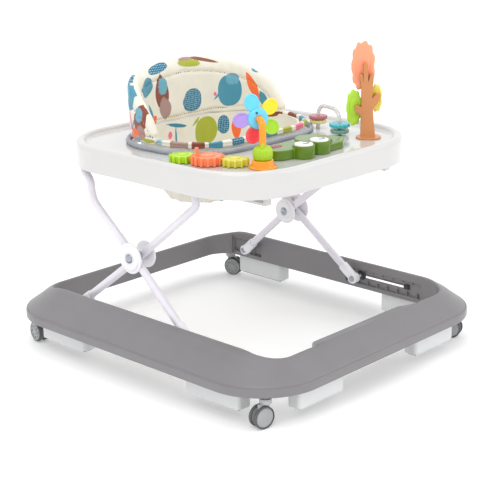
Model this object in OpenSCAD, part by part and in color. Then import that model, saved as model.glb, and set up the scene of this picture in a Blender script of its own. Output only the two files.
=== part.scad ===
// Baby walker with a folding scissor stand, four swivel casters and a toy tray.
// Millimetres, +Z up, origin on the floor under the middle of the base.
// The child faces -Y. Left is -X and right is +X.

/* [Base] */
// Half of the base's width
base_hx = 341; // [330:1:350]
// Half of the base's length
base_hy = 373; // [365:1:380]
// Outer corner radius of the base, seen from above
base_r = 128; // [120:1:135]
// Half of the base opening's width
open_hx = 266; // [262:1:268]
// Front edge of the base opening
open_front = -317; // [-320:1:-310]
// Rear edge of the base opening
open_rear = 324; // [318:1:328]
// Height of the base's lower edge above the floor
lip_z = 60; // [58:1:62]
// Height of the base's ridge above the floor
ridge_z = 122; // [118:1:124]
// Wall thickness of the base moulding
base_wall = 3; // [2.5:0.5:3.5]

/* [Casters] */
// Distance of each swivel axis from the middle, across
caster_x = 290; // [286:1:292]
// Distance of each swivel axis from the middle, along
caster_y = 322; // [316:1:324]
// Wheel radius
wheel_r = 21; // [20:0.5:21.5]
// Distance of the wheel axle behind the swivel axis
trail = 9; // [7:1:10]
// Swivel angles: front left, front right, rear left, rear right
caster_turn = [80, 19, 171, -162]; // [-180:1:180]

/* [Scissor stand] */
// Outer diameter of the leg tubes
tube_d = 16; // [15:1:16]
// Wall thickness of the leg tubes
tube_wall = 1.5; // [1.2:0.1:2]
// Height of both lower pivots
low_z = 88; // [86:1:90]
// Length position of the fixed lower pivot
rear_pivot_y = 230; // [228:1:232]
// Length position of the sliding lower pivot
slide_pivot_y = -88; // [-90:1:-86]
// Height of the scissor hub
hub_z = 217; // [214:1:220]
// Half distance between the two upper pivots
top_span = 150; // [147:1:151]
// Height of both upper pivots
top_z = 378; // [376:1:379]

/* [Tray] */
// Half of the tray's width
tray_hx = 268; // [266:1:270]
// Front edge of the tray
tray_front = -263; // [-265:1:-261]
// Rear edge of the tray
tray_rear = 283; // [281:1:285]
// Corner radius of the tray
tray_r = 141; // [138:1:143]
// Height of the skirt's lower edge
skirt_z = 379; // [378:1:381]
// Height of the raised rim
rim_z = 429; // [428:1:430]
// Height of the play surface
deck_z = 421; // [420:1:422]

/* [Seat] */
// Half of the seat opening's width
seat_hx = 188; // [186:1:190]
// Front edge of the seat opening
seat_front = -70; // [-72:1:-68]
// Rear edge of the seat opening
seat_rear = 190; // [188:1:192]
// Corner radius of the seat opening
seat_r = 110; // [106:1:112]
// Height of the backrest's highest point
back_top = 568; // [560:1:575]
// Height of the sling seat's lowest point
pouch_z = 305; // [300:1:312]

/* [Toys] */
// Places of the flower, the tree and the coral gear on the tray
flower_at = [-152, -194]; // [-250:1:250]
tree_at = [168, -183]; // [-250:1:250]
coral_at = [-197, -98]; // [-250:1:250]
// Centre distance of two meshing gears
gear_pitch = 52.4; // [52:0.1:53]

/* [Hidden] */
$fn = 48;

// Radial clearance of every running fit, and the gap between separate pieces
fit = 0.05;
gap = 0.3;

// Side planes of the scissor tubes: at the hub, and at the feet
front_x = 235;
rear_x = 215;
foot_x = 246;
hub_y = (rear_pivot_y + slide_pivot_y) / 2;
top_rear_y = hub_y + top_span;
top_front_y = hub_y - top_span;
bend_r = 20;
pin_r = 3;
pivot_r = 4;
rivet_r = 5;
// Length of each tube's end that is hidden in its plastic cap
cap_in = 14;

grey = "#918f90";
light_grey = "#bec0be";
white = "#f4f4f4";
lilac_white = "#e6e2ea";
dark = "#2b2b2d";
cream = "#eae6d8";

// ---------- shared shapes ----------

// Rounded rectangle about x = 0 from y0 to y1, drawn with true arcs
module round_rect(hx, y0, y1, r) {
    translate([-hx + r, y0]) square([2 * (hx - r), y1 - y0]);
    translate([-hx, y0 + r]) square([2 * hx, y1 - y0 - 2 * r]);
    for (sx = [-1, 1], y = [y0 + r, y1 - r])
        translate([sx * (hx - r), y]) circle(r);
}

module round_plate(hx, y0, y1, r, z0, z1) {
    translate([0, 0, z0]) linear_extrude(z1 - z0) round_rect(hx, y0, y1, r);
}

// Straight slot with round ends, its length along x
module slot_2d(length, r) {
    translate([-length / 2, -r]) square([length, 2 * r]);
    for (sx = [-1, 1]) translate([sx * length / 2, 0]) circle(r);
}

// Carries a profile, given as [distance inward, height], round a rounded rectangle
module ring_sweep(hx, y0, y1, r, profile) {
    side = y1 - y0 - 2 * r;
    front = 2 * (hx - r);
    outline = [for (p = profile) [r - p.x, p.y]];
    for (sx = [-1, 1])
        translate([sx * (hx - r), sx > 0 ? y0 + r + side : y0 + r, 0])
            rotate([90, 0, sx > 0 ? 0 : 180]) linear_extrude(side) polygon(outline);
    for (rear = [false, true])
        translate([rear ? -hx + r : hx - r, rear ? y1 - r : y0 + r, 0])
            rotate([90, 0, rear ? 90 : -90]) linear_extrude(front) polygon(outline);
    for (k = [0:3])
        translate([(k == 0 || k == 3 ? 1 : -1) * (hx - r), k < 2 ? y1 - r : y0 + r, 0])
            rotate([0, 0, 90 * k]) rotate_extrude(angle = 90) polygon(outline);
}

// Places children in a frame given by its origin, X and Y directions
module in_frame(o, ex, ey) {
    ez = cross(ex, ey);
    multmatrix([[ex.x, ey.x, ez.x, o.x], [ex.y, ey.y, ez.y, o.y],
        [ex.z, ey.z, ez.z, o.z], [0, 0, 0, 1]]) children();
}

function unit(v) = v / norm(v);
function bend_angle(a, b, c) = acos(unit(b - a) * unit(c - b));
function setback(a, b, c, r) = r * tan(bend_angle(a, b, c) / 2);

// Straight round bar from a to b
module bar(a, b, r) {
    ez = unit(b - a);
    ex = unit(cross(ez, abs(ez.x) > 0.9 ? [0, 1, 0] : [1, 0, 0]));
    in_frame(a, ex, cross(ez, ex)) cylinder(h = norm(b - a), r = r);
}

// Bar along a path with rounded bends; radii holds one bend radius per inner point.
// Each bend is a hair thinner than the straights and runs a little way into them.
bend_slack = 0.05;
bend_lap = 0.6;
module bent_bar(path, radii, r) {
    n = len(path);
    cut = [for (i = [0:n - 1]) i == 0 || i == n - 1 ? 0
        : setback(path[i - 1], path[i], path[i + 1], radii[i - 1])];
    for (i = [0:n - 2]) {
        d = unit(path[i + 1] - path[i]);
        bar(path[i] + d * cut[i], path[i + 1] - d * cut[i + 1], r);
    }
    for (i = [1:n - 2]) {
        u = unit(path[i] - path[i - 1]);
        v = unit(path[i + 1] - path[i]);
        inward = unit(v - u * (u * v));
        lap = asin(bend_lap / radii[i - 1]);
        in_frame(path[i] - u * cut[i] + inward * radii[i - 1], -inward, u)
            rotate([0, 0, -lap])
                rotate_extrude(angle = bend_angle(path[i - 1], path[i], path[i + 1]) + 2 * lap)
                    translate([radii[i - 1], 0]) circle(r - bend_slack);
    }
}

module bent_tube(path, radii, r, wall) {
    difference() {
        bent_bar(path, radii, r);
        bent_bar(path, radii, r - wall);
    }
}

// Cylinder along X between two distances from the middle, on one side
module side_pin(side, x0, x1, y, z, r) {
    translate([side > 0 ? x0 : -x1, y, z]) rotate([0, 90, 0]) cylinder(h = x1 - x0, r = r);
}

module side_box(side, x0, x1, y0, y1, z0, z1) {
    translate([side > 0 ? x0 : -x1, y0, z0]) cube([x1 - x0, y1 - y0, z1 - z0]);
}

// ---------- base ----------

// Sloping outer skin as [distance inward, height]: lip band, slope, rounded ridge
skin = [[0, lip_z + 14], [3, lip_z + 17], [38, 102], [62, 117], [75, ridge_z], [base_r, ridge_z]];
lip_depth = 3;
open_r = 50;

module base_solid(inset, low) {
    profile = concat([[inset, low]],
        [for (p = skin) [max(p.x, inset), p.y - inset]],
        [[base_r, low]]);
    ring_sweep(base_hx, -base_hy, base_hy, base_r, profile);
}

module base_opening(grow) {
    round_plate(open_hx + grow, open_front - grow, open_rear + grow, open_r + grow, 0, 200);
}

// Plan of the front shelf, with its slanted ends
shelf_y = -287;
module shelf(inset) {
    intersection() {
        translate([0, 0, -1]) linear_extrude(200) polygon([[-155 + inset, open_front - 2],
            [-125 + inset, shelf_y - inset], [125 - inset, shelf_y - inset], [155 - inset, open_front - 2]]);
        translate([-200, 0, 0]) rotate([90, 0, 90]) linear_extrude(400)
            polygon([[open_front - 2, inset > 0 ? 0 : 63], [shelf_y, inset > 0 ? 0 : 63],
                [shelf_y, 97 - inset], [shelf_y - 6, 103 - inset], [open_front - 2, 110 - inset]]);
    }
}

// Window cut in each inner side wall for the slot rail
rail_y0 = -251;
rail_y1 = -45;
rail_z0 = 66;
rail_z1 = 106;
bracket_y0 = 197;
bracket_y1 = 291;

// Outer sizes of the stopper blocks: [x0, x1, y0, y1]
side_front_block = [275, 309, -275, -137];
side_rear_block = [275, 309, 150, 282];
front_block = [110, 235, -353, -322];
block_z0 = 20;
block_z1 = 62;
pad_z = 16;
socket_r = 12;

module base_shell() {
    color(grey) difference() {
        union() {
            difference() {
                base_solid(0, lip_z);
                base_opening(0);
                difference() {
                    base_solid(base_wall, 0);
                    base_opening(base_wall);
                }
            }
            for (sx = [-1, 1], sy = [-1, 1]) intersection() {
                translate([sx * caster_x, sy * caster_y, lip_z - 6]) cylinder(h = 60, r = socket_r);
                base_solid(1, 0);
            }
            for (side = [-1, 1]) {
                side_box(side, open_hx + 1, base_hx - 1, -275, -190, block_z1, block_z1 + 3);
                side_box(side, open_hx + 1, base_hx - 1, 150, 282, block_z1, block_z1 + 3);
                side_box(side, 110, 235, -base_hy + 1, open_front - 1, block_z1, block_z1 + 3);
            }
            difference() {
                shelf(0);
                shelf(base_wall);
            }
        }
        for (sx = [-1, 1], sy = [-1, 1])
            translate([sx * caster_x, sy * caster_y, 0]) cylinder(h = 76, r = 6 + fit);
        for (side = [-1, 1]) {
            side_box(side, open_hx - 5, open_hx + 5, rail_y0, rail_y1, rail_z0, rail_z1);
            side_box(side, open_hx - 5, open_hx + 5, bracket_y0, bracket_y1, rail_z0, rail_z1);
        }
    }
}

// Plate with the see-through slot that the front foot slides in
slot_y0 = -216;
slot_y1 = -78;
slot_h = 10;
module slot_rail(side) {
    color(grey) difference() {
        side_box(side, open_hx, open_hx + 10, rail_y0, rail_y1, rail_z0, rail_z1);
        side_box(side, open_hx - 1, open_hx + 6, rail_y0 + 4, rail_y1 - 4, rail_z0 + 4, rail_z1 - 4);
        side_box(side, open_hx, open_hx + 11, slot_y0, slot_y1, low_z - slot_h / 2, low_z + slot_h / 2);
    }
}
module slot_rail_left() { slot_rail(-1); }
module slot_rail_right() { slot_rail(1); }

// Plate that holds the rear foot's fixed pin
module rear_bracket(side) {
    color(grey) {
        difference() {
            side_box(side, open_hx, open_hx + 10, bracket_y0, bracket_y1, rail_z0, rail_z1);
            side_box(side, open_hx - 1, open_hx + 6, bracket_y0 + 4, bracket_y1 - 4, rail_z0 + 4, rail_z1 - 4);
        }
        side_pin(side, foot_x + 11, open_hx + 6, rear_pivot_y, low_z, 9);
        side_pin(side, foot_x - 9, foot_x + 11, rear_pivot_y, low_z, pivot_r);
    }
}
module rear_bracket_left() { rear_bracket(-1); }
module rear_bracket_right() { rear_bracket(1); }

// Black end stop at the front of the slot
module slot_stop(side) {
    color(dark) side_box(side, open_hx + 3, open_hx + 13, slot_y0, slot_y0 + 14,
        low_z - slot_h / 2, low_z + slot_h / 2);
}
module slot_stop_left() { slot_stop(-1); }
module slot_stop_right() { slot_stop(1); }

// Hollow anti-slip block with rounded corners, open at the top
module stopper(side, b) {
    size = [b[1] - b[0], b[3] - b[2]];
    centre = [side * (b[0] + b[1]) / 2, (b[2] + b[3]) / 2, 0];
    color(light_grey) translate(centre) difference() {
        round_plate(size.x / 2, -size.y / 2, size.y / 2, 8, block_z0, block_z1);
        round_plate(size.x / 2 - 3, 3 - size.y / 2, size.y / 2 - 3, 5, block_z0 + 3, block_z1 + 1);
    }
}
module stopper_front_left() { stopper(-1, front_block); }
module stopper_front_right() { stopper(1, front_block); }
module stopper_side_front_left() { stopper(-1, side_front_block); }
module stopper_side_front_right() { stopper(1, side_front_block); }
module stopper_side_rear_left() { stopper(-1, side_rear_block); }
module stopper_side_rear_right() { stopper(1, side_rear_block); }

// Rubber friction strip under each block
module stopper_pads() {
    inset = 7;
    color(dark) for (side = [-1, 1], b = [front_block, side_front_block, side_rear_block])
        side_box(side, b[0] + inset, b[1] - inset, b[2] + inset, b[3] - inset, pad_z, block_z0);
}

// ---------- casters ----------

module at_caster(k) {
    translate([(k % 2 == 0 ? -1 : 1) * caster_x, (k < 2 ? -1 : 1) * caster_y, 0])
        rotate([0, 0, caster_turn[k]]) children();
}

web = 8;
disc_gap = 0.5;
disc_t = 8;
// Swivel fork: stem, collar and a central web between the wheel discs
module caster_fork(k) {
    stem_top = 75;
    collar_z = wheel_r * 2 + 2;
    color(light_grey) at_caster(k) {
        translate([0, 0, collar_z]) cylinder(h = lip_z - 6.5 - collar_z, r = 11);
        translate([0, 0, collar_z]) cylinder(h = stem_top - collar_z, r = 6);
        difference() {
            union() {
                translate([-web / 2, trail, wheel_r]) rotate([0, 90, 0]) cylinder(h = web, r = 9);
                translate([-web / 2, -6, wheel_r + 4]) cube([web, trail + 12, collar_z - wheel_r - 4]);
            }
            translate([-web, trail, wheel_r]) rotate([0, 90, 0]) cylinder(h = 2 * web, r = pin_r + fit);
        }
    }
}
module caster_fork_front_left() { caster_fork(0); }
module caster_fork_front_right() { caster_fork(1); }
module caster_fork_rear_left() { caster_fork(2); }
module caster_fork_rear_right() { caster_fork(3); }

// Two wheel discs pressed on one axle
module caster_wheels(k) {
    inner = web / 2 + disc_gap;
    color(grey) at_caster(k) translate([0, trail, wheel_r]) rotate([0, 90, 0]) {
        translate([0, 0, -inner]) cylinder(h = 2 * inner, r = pin_r);
        for (s = [-1, 1]) mirror([0, 0, s < 0 ? 1 : 0]) translate([0, 0, inner]) rotate_extrude()
            polygon([[0, 0], [wheel_r, 0], [wheel_r, disc_t - 2], [wheel_r - 2, disc_t],
                [wheel_r - 5, disc_t], [wheel_r - 6, disc_t - 1], [0, disc_t - 1]]);
    }
}
module caster_wheels_front_left() { caster_wheels(0); }
module caster_wheels_front_right() { caster_wheels(1); }
module caster_wheels_rear_left() { caster_wheels(2); }
module caster_wheels_rear_right() { caster_wheels(3); }

// ---------- scissor stand ----------

tube_r = tube_d / 2;
// Centre line of one side of each U-shaped frame, foot first, for the right side
rear_path = [[foot_x, rear_pivot_y, low_z], [rear_x, hub_y, hub_z],
    [rear_x, top_front_y - 7, top_z - 35], [rear_x, top_front_y, top_z]];
rear_bends = [90, bend_r, bend_r];
front_path = [[foot_x, slide_pivot_y, low_z], [front_x, hub_y, hub_z], [front_x, hub_y + 120, 314],
    [front_x, hub_y + 120, 350], [front_x, top_rear_y, top_z]];
front_bends = [90, 50, bend_r, bend_r];

function shortened(path) = concat([path[0] + unit(path[1] - path[0]) * cap_in],
    [for (i = [1:len(path) - 1]) path[i]]);
function mirrored(path) = [for (p = path) [-p.x, p.y, p.z]];

function reversed(list) = [for (i = [len(list) - 1:-1:0]) list[i]];

module leg_frame(path, bends) {
    half = shortened(path);
    bent_tube(concat(half, reversed(mirrored(half))), concat(bends, reversed(bends)), tube_r, tube_wall);
}

// Flattened plastic cap on a tube's lower end, bored for the pivot pin
cap_eye_r = 11;
module foot_cap(side, path, bore) {
    foot = side > 0 ? path[0] : mirrored(path)[0];
    next = side > 0 ? path[1] : mirrored(path)[1];
    along = unit(next - foot);
    difference() {
        union() {
            side_pin(side, foot_x - 8, foot_x + 8, foot.y, foot.z, cap_eye_r);
            bar(foot + along * 6, foot + along * 38, tube_r + 2.5);
        }
        bar(foot + along * cap_in, foot + along * 60, tube_r);
        if (bore > 0) side_pin(side, foot_x - 20, foot_x + 20, foot.y, foot.z, bore);
    }
}

module rear_leg_tube() {
    color(lilac_white) difference() {
        leg_frame(rear_path, rear_bends);
        for (side = [-1, 1]) side_pin(side, rear_x - 20, rear_x + 20, hub_y, hub_z, rivet_r);
    }
}

module rear_leg_caps() {
    color(white) for (side = [-1, 1]) foot_cap(side, rear_path, pivot_r + fit);
}

module hub_inner_discs() {
    color(white) for (side = [-1, 1]) difference() {
        side_pin(side, rear_x - tube_r - 7, rear_x - tube_r, hub_y, hub_z, 27);
        side_pin(side, 0, open_hx, hub_y, hub_z, rivet_r);
    }
}

// Rivet through both tubes, with heads and a spacer collar between the tubes
module hub_rivets() {
    head = 3;
    inner = rear_x - tube_r - 7;
    outer = front_x + tube_r + 7;
    color(light_grey) for (side = [-1, 1]) {
        side_pin(side, inner - head, outer + head, hub_y, hub_z, rivet_r);
        side_pin(side, inner - head, inner, hub_y, hub_z, 9);
        side_pin(side, outer + gap, outer + head, hub_y, hub_z, 9);
        difference() {
            side_pin(side, rear_x + tube_r + 1.6, front_x - tube_r - 0.2, hub_y, hub_z, 12);
            side_pin(side, rear_x, front_x, hub_y, hub_z, rivet_r - 1);
        }
    }
}

module front_leg_tube() {
    color(lilac_white) difference() {
        leg_frame(front_path, front_bends);
        for (side = [-1, 1]) side_pin(side, front_x - 20, front_x + 20, hub_y, hub_z, rivet_r + fit);
    }
}

// Lower caps with the pin that runs in the slot
module front_leg_caps() {
    color(white) for (side = [-1, 1]) {
        foot_cap(side, front_path, 0);
        side_pin(side, foot_x + 8, open_hx + 12, slide_pivot_y, low_z, pin_r);
    }
}

module hub_outer_discs() {
    color(white) for (side = [-1, 1]) difference() {
        side_pin(side, front_x + tube_r + 2, front_x + tube_r + 7, hub_y, hub_z, 31);
        side_pin(side, 0, open_hx, hub_y, hub_z, rivet_r + fit);
    }
}

// Sliding shoe on each front foot pin: a flange in the recess and a block in the slot
module slot_shoes() {
    half = 9;
    color(dark) for (side = [-1, 1]) difference() {
        union() {
            side_box(side, open_hx + 2, open_hx + 6 - gap, slide_pivot_y - half, slide_pivot_y + half,
                low_z - slot_h / 2 - 3, low_z + slot_h / 2 + 3);
            side_box(side, open_hx + 5, open_hx + 11, slide_pivot_y - half, slide_pivot_y + half,
                low_z - slot_h / 2 + 0.15, low_z + slot_h / 2 - 0.15);
        }
        side_pin(side, open_hx, open_hx + 14, slide_pivot_y, low_z, pin_r + fit);
    }
}

// Slide block round the front crossbar, running in each tray rail
slide_x0 = 166;
slide_x1 = 182;
slide_half = 12;
module tray_slides() {
    color(dark) for (side = [-1, 1]) difference() {
        side_box(side, slide_x0, slide_x1, top_front_y - slide_half, top_front_y + slide_half,
            top_z - slide_half, top_z + slide_half);
        side_pin(side, slide_x0 - 1, slide_x1 + 1, top_front_y, top_z, tube_r + fit);
    }
}

// ---------- tray ----------

rim_w = 20;
deck_t = 3;
tray_wall = 3;
module tray_shell() {
    section = [[0, skirt_z], [0, rim_z - 8], [2.5, rim_z - 2.5], [8, rim_z], [rim_w - 4, rim_z],
        [rim_w, deck_z], [rim_w + 4, deck_z], [rim_w + 4, deck_z - deck_t], [rim_w - 4, deck_z - deck_t],
        [rim_w - 6, rim_z - 4], [8, rim_z - 4], [tray_wall, rim_z - 9], [tray_wall, skirt_z]];
    color(white) difference() {
        union() {
            ring_sweep(tray_hx, tray_front, tray_rear, tray_r, section);
            round_plate(tray_hx - rim_w - 2, tray_front + rim_w + 2, tray_rear - rim_w - 2,
                tray_r - rim_w - 2, deck_z - deck_t, deck_z);
        }
        round_plate(seat_hx, seat_front, seat_rear, seat_r, 0, 600);
    }
}

// Bearing blocks under the deck for the rear crossbar
module tray_pivot_brackets() {
    color(white) for (side = [-1, 1]) difference() {
        side_box(side, 184, 204, top_rear_y - 13, top_rear_y + 13, top_z - 14, deck_z - deck_t);
        side_pin(side, 180, 210, top_rear_y, top_z, tube_r + fit);
    }
}

// Slotted rails under the deck for the front crossbar
rail_reach = 148;
module tray_rails() {
    clear = 0.2;
    color(white) for (side = [-1, 1]) difference() {
        side_box(side, slide_x0, slide_x1, top_front_y - rail_reach, top_front_y + 18,
            top_z - slide_half - 6, deck_z - deck_t);
        side_box(side, slide_x0 - 1, slide_x1 + 1, top_front_y - rail_reach + 6, top_front_y + slide_half + clear,
            top_z - slide_half - clear, top_z + slide_half + clear);
    }
}

// ---------- seat ----------

// Fabric-covered cord round the seat opening
piping_r = 5;
module seat_piping() {
    grow = piping_r;
    color("#9aa0a8") translate([0, 0, deck_z + piping_r]) piping_loop(seat_hx + grow,
        seat_front - grow, seat_rear + grow, seat_r + grow, piping_r);
}

module piping_loop(hx, y0, y1, r, thick) {
    for (sx = [-1, 1]) bar([sx * hx, y0 + r, 0], [sx * hx, y1 - r, 0], thick);
    for (y = [y0, y1]) bar([-hx + r, y, 0], [hx - r, y, 0], thick);
    for (k = [0:3])
        translate([(k == 0 || k == 3 ? 1 : -1) * (hx - r), k < 2 ? y1 - r : y0 + r, 0])
            rotate([0, 0, 90 * k]) rotate_extrude(angle = 90) translate([r, 0]) circle(thick);
}

module seat_wall(outer, inner, z0, z1) {
    difference() {
        round_plate(seat_hx - outer, seat_front + outer, seat_rear - outer, seat_r - outer, z0, z1);
        round_plate(seat_hx - inner, seat_front + inner, seat_rear - inner, seat_r - inner, z0 - 1, z1 + 1);
    }
}

// Padded backrest, arched along its top and wrapped round the back of the opening
module seat_back() {
    arch_r = 450;
    color(cream) intersection() {
        seat_wall(1, 19, deck_z + 11, back_top + 10);
        translate([0, 300, back_top - arch_r]) rotate([90, 0, 0]) cylinder(h = 600, r = arch_r, $fn = 96);
        translate([-300, 0, 0]) rotate([90, 0, 90]) linear_extrude(600)
            polygon([[45, deck_z + 5], [45, 450], [56, 472], [72, 490], [88, 506], [132, 534],
                [168, 551], [192, 580], [192, deck_z + 5]]);
    }
}

// Low padded rim round the front of the opening
module seat_collar() {
    color(cream) intersection() {
        seat_wall(1, 17, deck_z + 11, deck_z + 24);
        translate([-300, seat_front - 10, 0]) cube([600, 45 - gap - seat_front + 10, 600]);
    }
}

// Hanging sling seat with two leg openings
leg_hole_x = 72;
leg_hole_y = -8;
module seat_pouch() {
    top = deck_z + 10;
    wall = 5;
    color(cream) difference() {
        pouch_hull(1, top, pouch_z);
        pouch_hull(1 + wall, top + 1, pouch_z + wall);
        for (side = [-1, 1]) translate([side * leg_hole_x, leg_hole_y, pouch_z + 42]) {
            rotate([110, 0, 0]) cylinder(h = 90, r = 46);
        }
    }
}

module pouch_hull(inset, top, bottom) {
    hull() {
        round_plate(seat_hx - inset, seat_front + inset, seat_rear - inset, seat_r - inset,
            top - 1, top, $fn = 32);
        round_plate(seat_hx - 25 - inset, seat_front + 16 + inset, seat_rear - 12 - inset, seat_r - 30,
            bottom + 62, bottom + 63, $fn = 32);
        round_plate(112 - inset, 4 + inset, 138 - inset, 56, bottom, bottom + 1, $fn = 32);
    }
}

// ---------- crocodile ----------

croc_eyes = [[-43, -197], [5, -194]];
croc_green = "#6f9b28";
eye_r = 21;
module croc_body() {
    color(croc_green) difference() {
        union() {
            translate([-66, -166, deck_z]) rotate([0, 0, -8]) linear_extrude(19) slot_2d(26, 26);
            translate([24, -163, deck_z]) cylinder(h = 21, r = 36);
            translate([-50, -186, deck_z]) cube([70, 50, 17]);
            translate([0, 0, deck_z]) linear_extrude(14)
                polygon([[20, -205], [62, -205], [98, -180], [92, -150], [60, -132], [20, -128]]);
            for (e = croc_eyes) translate([e.x, e.y, deck_z]) cylinder(h = 25, r = eye_r);
        }
        for (e = croc_eyes) translate([e.x, e.y, deck_z + 20]) cylinder(h = 30, r = eye_r - 2.6);
        for (e = croc_eyes) translate([e.x, e.y, deck_z + 4]) cylinder(h = 30, r = 6 + fit);
    }
}

// White push button in each eye, with its guide stem
module croc_eye(k) {
    color(white) translate([croc_eyes[k].x, croc_eyes[k].y, deck_z]) {
        translate([0, 0, 23]) cylinder(h = 4, r = eye_r - 3);
        translate([0, 0, 8]) cylinder(h = 16, r = 6);
    }
}
module croc_eye_left() { croc_eye(0); }
module croc_eye_right() { croc_eye(1); }

// ---------- tree ----------

tree_turn = -46;
// Upright plate in the tree's plane: children are drawn as width and height
module tree_plate(depth0, depth1) {
    translate([tree_at.x, tree_at.y, deck_z]) rotate([0, 0, tree_turn])
        translate([0, depth1, 0]) rotate([90, 0, 0]) linear_extrude(depth1 - depth0) children();
}

trunk_t = 8;
module tree_trunk() {
    color("#b87850") {
        translate([tree_at.x, tree_at.y, deck_z]) cylinder(h = 3, r = 25);
        tree_plate(-trunk_t, trunk_t) union() {
            polygon([[-16, 2], [13, 2], [9, 40], [6, 85], [9, 125], [2, 125], [-2, 112], [-3, 148],
                [-11, 148], [-12, 112], [-13, 127], [-19, 127], [-15, 100], [-15, 60]]);
            polygon([[-14, 42], [-14, 62], [-22, 66], [-27, 64], [-27, 53], [-20, 50]]);
            polygon([[5, 58], [5, 78], [15, 89], [23, 86], [21, 76], [14, 66]]);
        }
    }
}

leaf_t = 7;
module tree_leaf(u, low, high, r) {
    tree_plate(trunk_t + gap, trunk_t + gap + leaf_t) translate([u, (low + high) / 2])
        rotate(90) slot_2d(high - low - 2 * r, r);
}
module tree_leaf_coral() { color("#fa9070") tree_leaf(-11, 92, 189, 23); }
module tree_leaf_lime() { color("#a8e030") tree_leaf(-28, 22, 94, 15); }
module tree_leaf_yellow() { color("#e8e070") tree_leaf(16, 50, 104, 11); }

// ---------- bead arch ----------

arch_feet = [[174, -48], [153, -122]];
arch_r = 4;
module bead_arch() {
    peak = deck_z + 50;
    a = arch_feet[0];
    b = arch_feet[1];
    color("#e8e6e2") bent_bar([[a.x, a.y, deck_z], [a.x, a.y, peak], [b.x, b.y, peak], [b.x, b.y, deck_z]],
        [24, 24], arch_r);
}

// Flower-shaped disc that turns on one leg of the arch
module bead(at, z, r, lobes) {
    lobe = 4;
    translate([at.x, at.y, z]) linear_extrude(8) difference() {
        union() {
            circle(r - lobe);
            for (k = [0:lobes - 1]) rotate(360 * k / lobes) translate([r - lobe, 0]) circle(lobe);
        }
        circle(arch_r + fit);
    }
}
module bead_rose() { color("#b87078") bead(arch_feet[0], deck_z + 20, 19, 12); }
module bead_cream() { color("#e8dc90") bead(arch_feet[0], deck_z + 11, 17, 12); }
module bead_turquoise() { color("#40b8c8") bead(arch_feet[1], deck_z + 16, 21, 12); }
module bead_sage() { color("#70a890") bead(arch_feet[1], deck_z + 4, 19, 12); }

// ---------- flower ----------

flower_turn = 64;
bulb_z = 15;
stem_top = 86;
stem_r = 6.5;
hub_out = 17;
flower_dir = [cos(flower_turn), sin(flower_turn), 0];
flower_foot = [flower_at.x, flower_at.y, deck_z];
module flower_base() {
    color("#ff9810") translate(flower_foot) cylinder(h = bulb_z, r1 = 26, r2 = 19);
}
module flower_bulb() {
    color("#b0e010") translate([flower_at.x, flower_at.y, deck_z + bulb_z]) rotate_extrude()
        polygon([[0, 0], [16, 0], [18.5, 3], [18.5, 18], [15, 24], [9, 26], [0, 26]]);
}
module flower_stem() {
    bottom = flower_foot + [0, 0, bulb_z + 26];
    top = flower_foot + [0, 0, stem_top];
    color("#ff9c18") bent_bar([bottom, top, top + flower_dir * (hub_out + 8)], [15], stem_r);
}

// Children are drawn in the flower's plane, hub_out from the stem
module flower_frame(out) {
    in_frame(flower_foot + [0, 0, stem_top] + flower_dir * (hub_out + out),
        [sin(flower_turn), -cos(flower_turn), 0], [0, 0, 1]) mirror([0, 0, 1]) children();
}
hub_r = 19.5;
module flower_hub() {
    color("#70d8f0") flower_frame(0) difference() {
        rotate_extrude() polygon([[0, 0], [hub_r - 3, 0], [hub_r, 3], [hub_r, 12], [hub_r - 3, 15], [0, 15]]);
        translate([0, 0, -1]) cylinder(h = 10, r = stem_r + fit);
    }
}
module flower_petals() {
    petal_r = 14;
    petal_out = 31;
    color("#60d8f8") flower_frame(5) difference() {
        linear_extrude(5) for (k = [0:4]) rotate(38 + 72 * k) translate([petal_out, 0]) slot_2d(5, petal_r);
        translate([0, 0, -1]) cylinder(h = 8, r = hub_r);
    }
}

// ---------- gears ----------

teeth_small = 12;
teeth_large = 15;
// Coral gear's mesh directions: seven teeth apart, so both neighbours mesh at rest
to_green = 106.7;
to_yellow = to_green - 7 * 360 / teeth_large;
green_at = coral_at + gear_pitch * [cos(to_green), sin(to_green)];
yellow_at = coral_at + gear_pitch * [cos(to_yellow), sin(to_yellow)];
small_pitch_r = gear_pitch * teeth_small / (teeth_small + teeth_large);
large_pitch_r = gear_pitch - small_pitch_r;
tooth_r = PI * small_pitch_r / teeth_small * 0.46;
module gear(at, pitch_r, teeth, first, z, h) {
    root = pitch_r - 1.15 * tooth_r;
    translate([at.x, at.y, deck_z]) difference() {
        translate([0, 0, z]) linear_extrude(h) {
            circle(root);
            for (k = [0:teeth - 1]) rotate(first + 360 * k / teeth) {
                translate([pitch_r, 0]) circle(tooth_r);
                translate([root - 1, -0.8 * tooth_r]) square([pitch_r - root + 1, 1.6 * tooth_r]);
            }
        }
        translate([0, 0, -1]) cylinder(h = h - 1, r = pivot_r + fit);
    }
}
module gear_green() {
    color("#a0e020") gear(green_at, small_pitch_r, teeth_small, to_green + 180 + 15, 1, 13);
}
module gear_coral() { color("#ff7855") gear(coral_at, large_pitch_r, teeth_large, to_green, 1, 16); }
module gear_yellow() {
    color("#e8e840") gear(yellow_at, small_pitch_r, teeth_small, to_yellow + 180 + 15, 1, 13);
}
module gear_pins() {
    color(white) for (at = [green_at, coral_at, yellow_at])
        translate([at.x, at.y, deck_z]) cylinder(h = 10, r = pivot_r);
}
// Upright peg for turning the coral gear
module crank_knob() {
    knob_dir = 150;
    color("#ff7855") translate([coral_at.x + 20 * cos(knob_dir), coral_at.y + 20 * sin(knob_dir),
        deck_z + 17]) cylinder(h = 16, r = 4);
}

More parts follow.
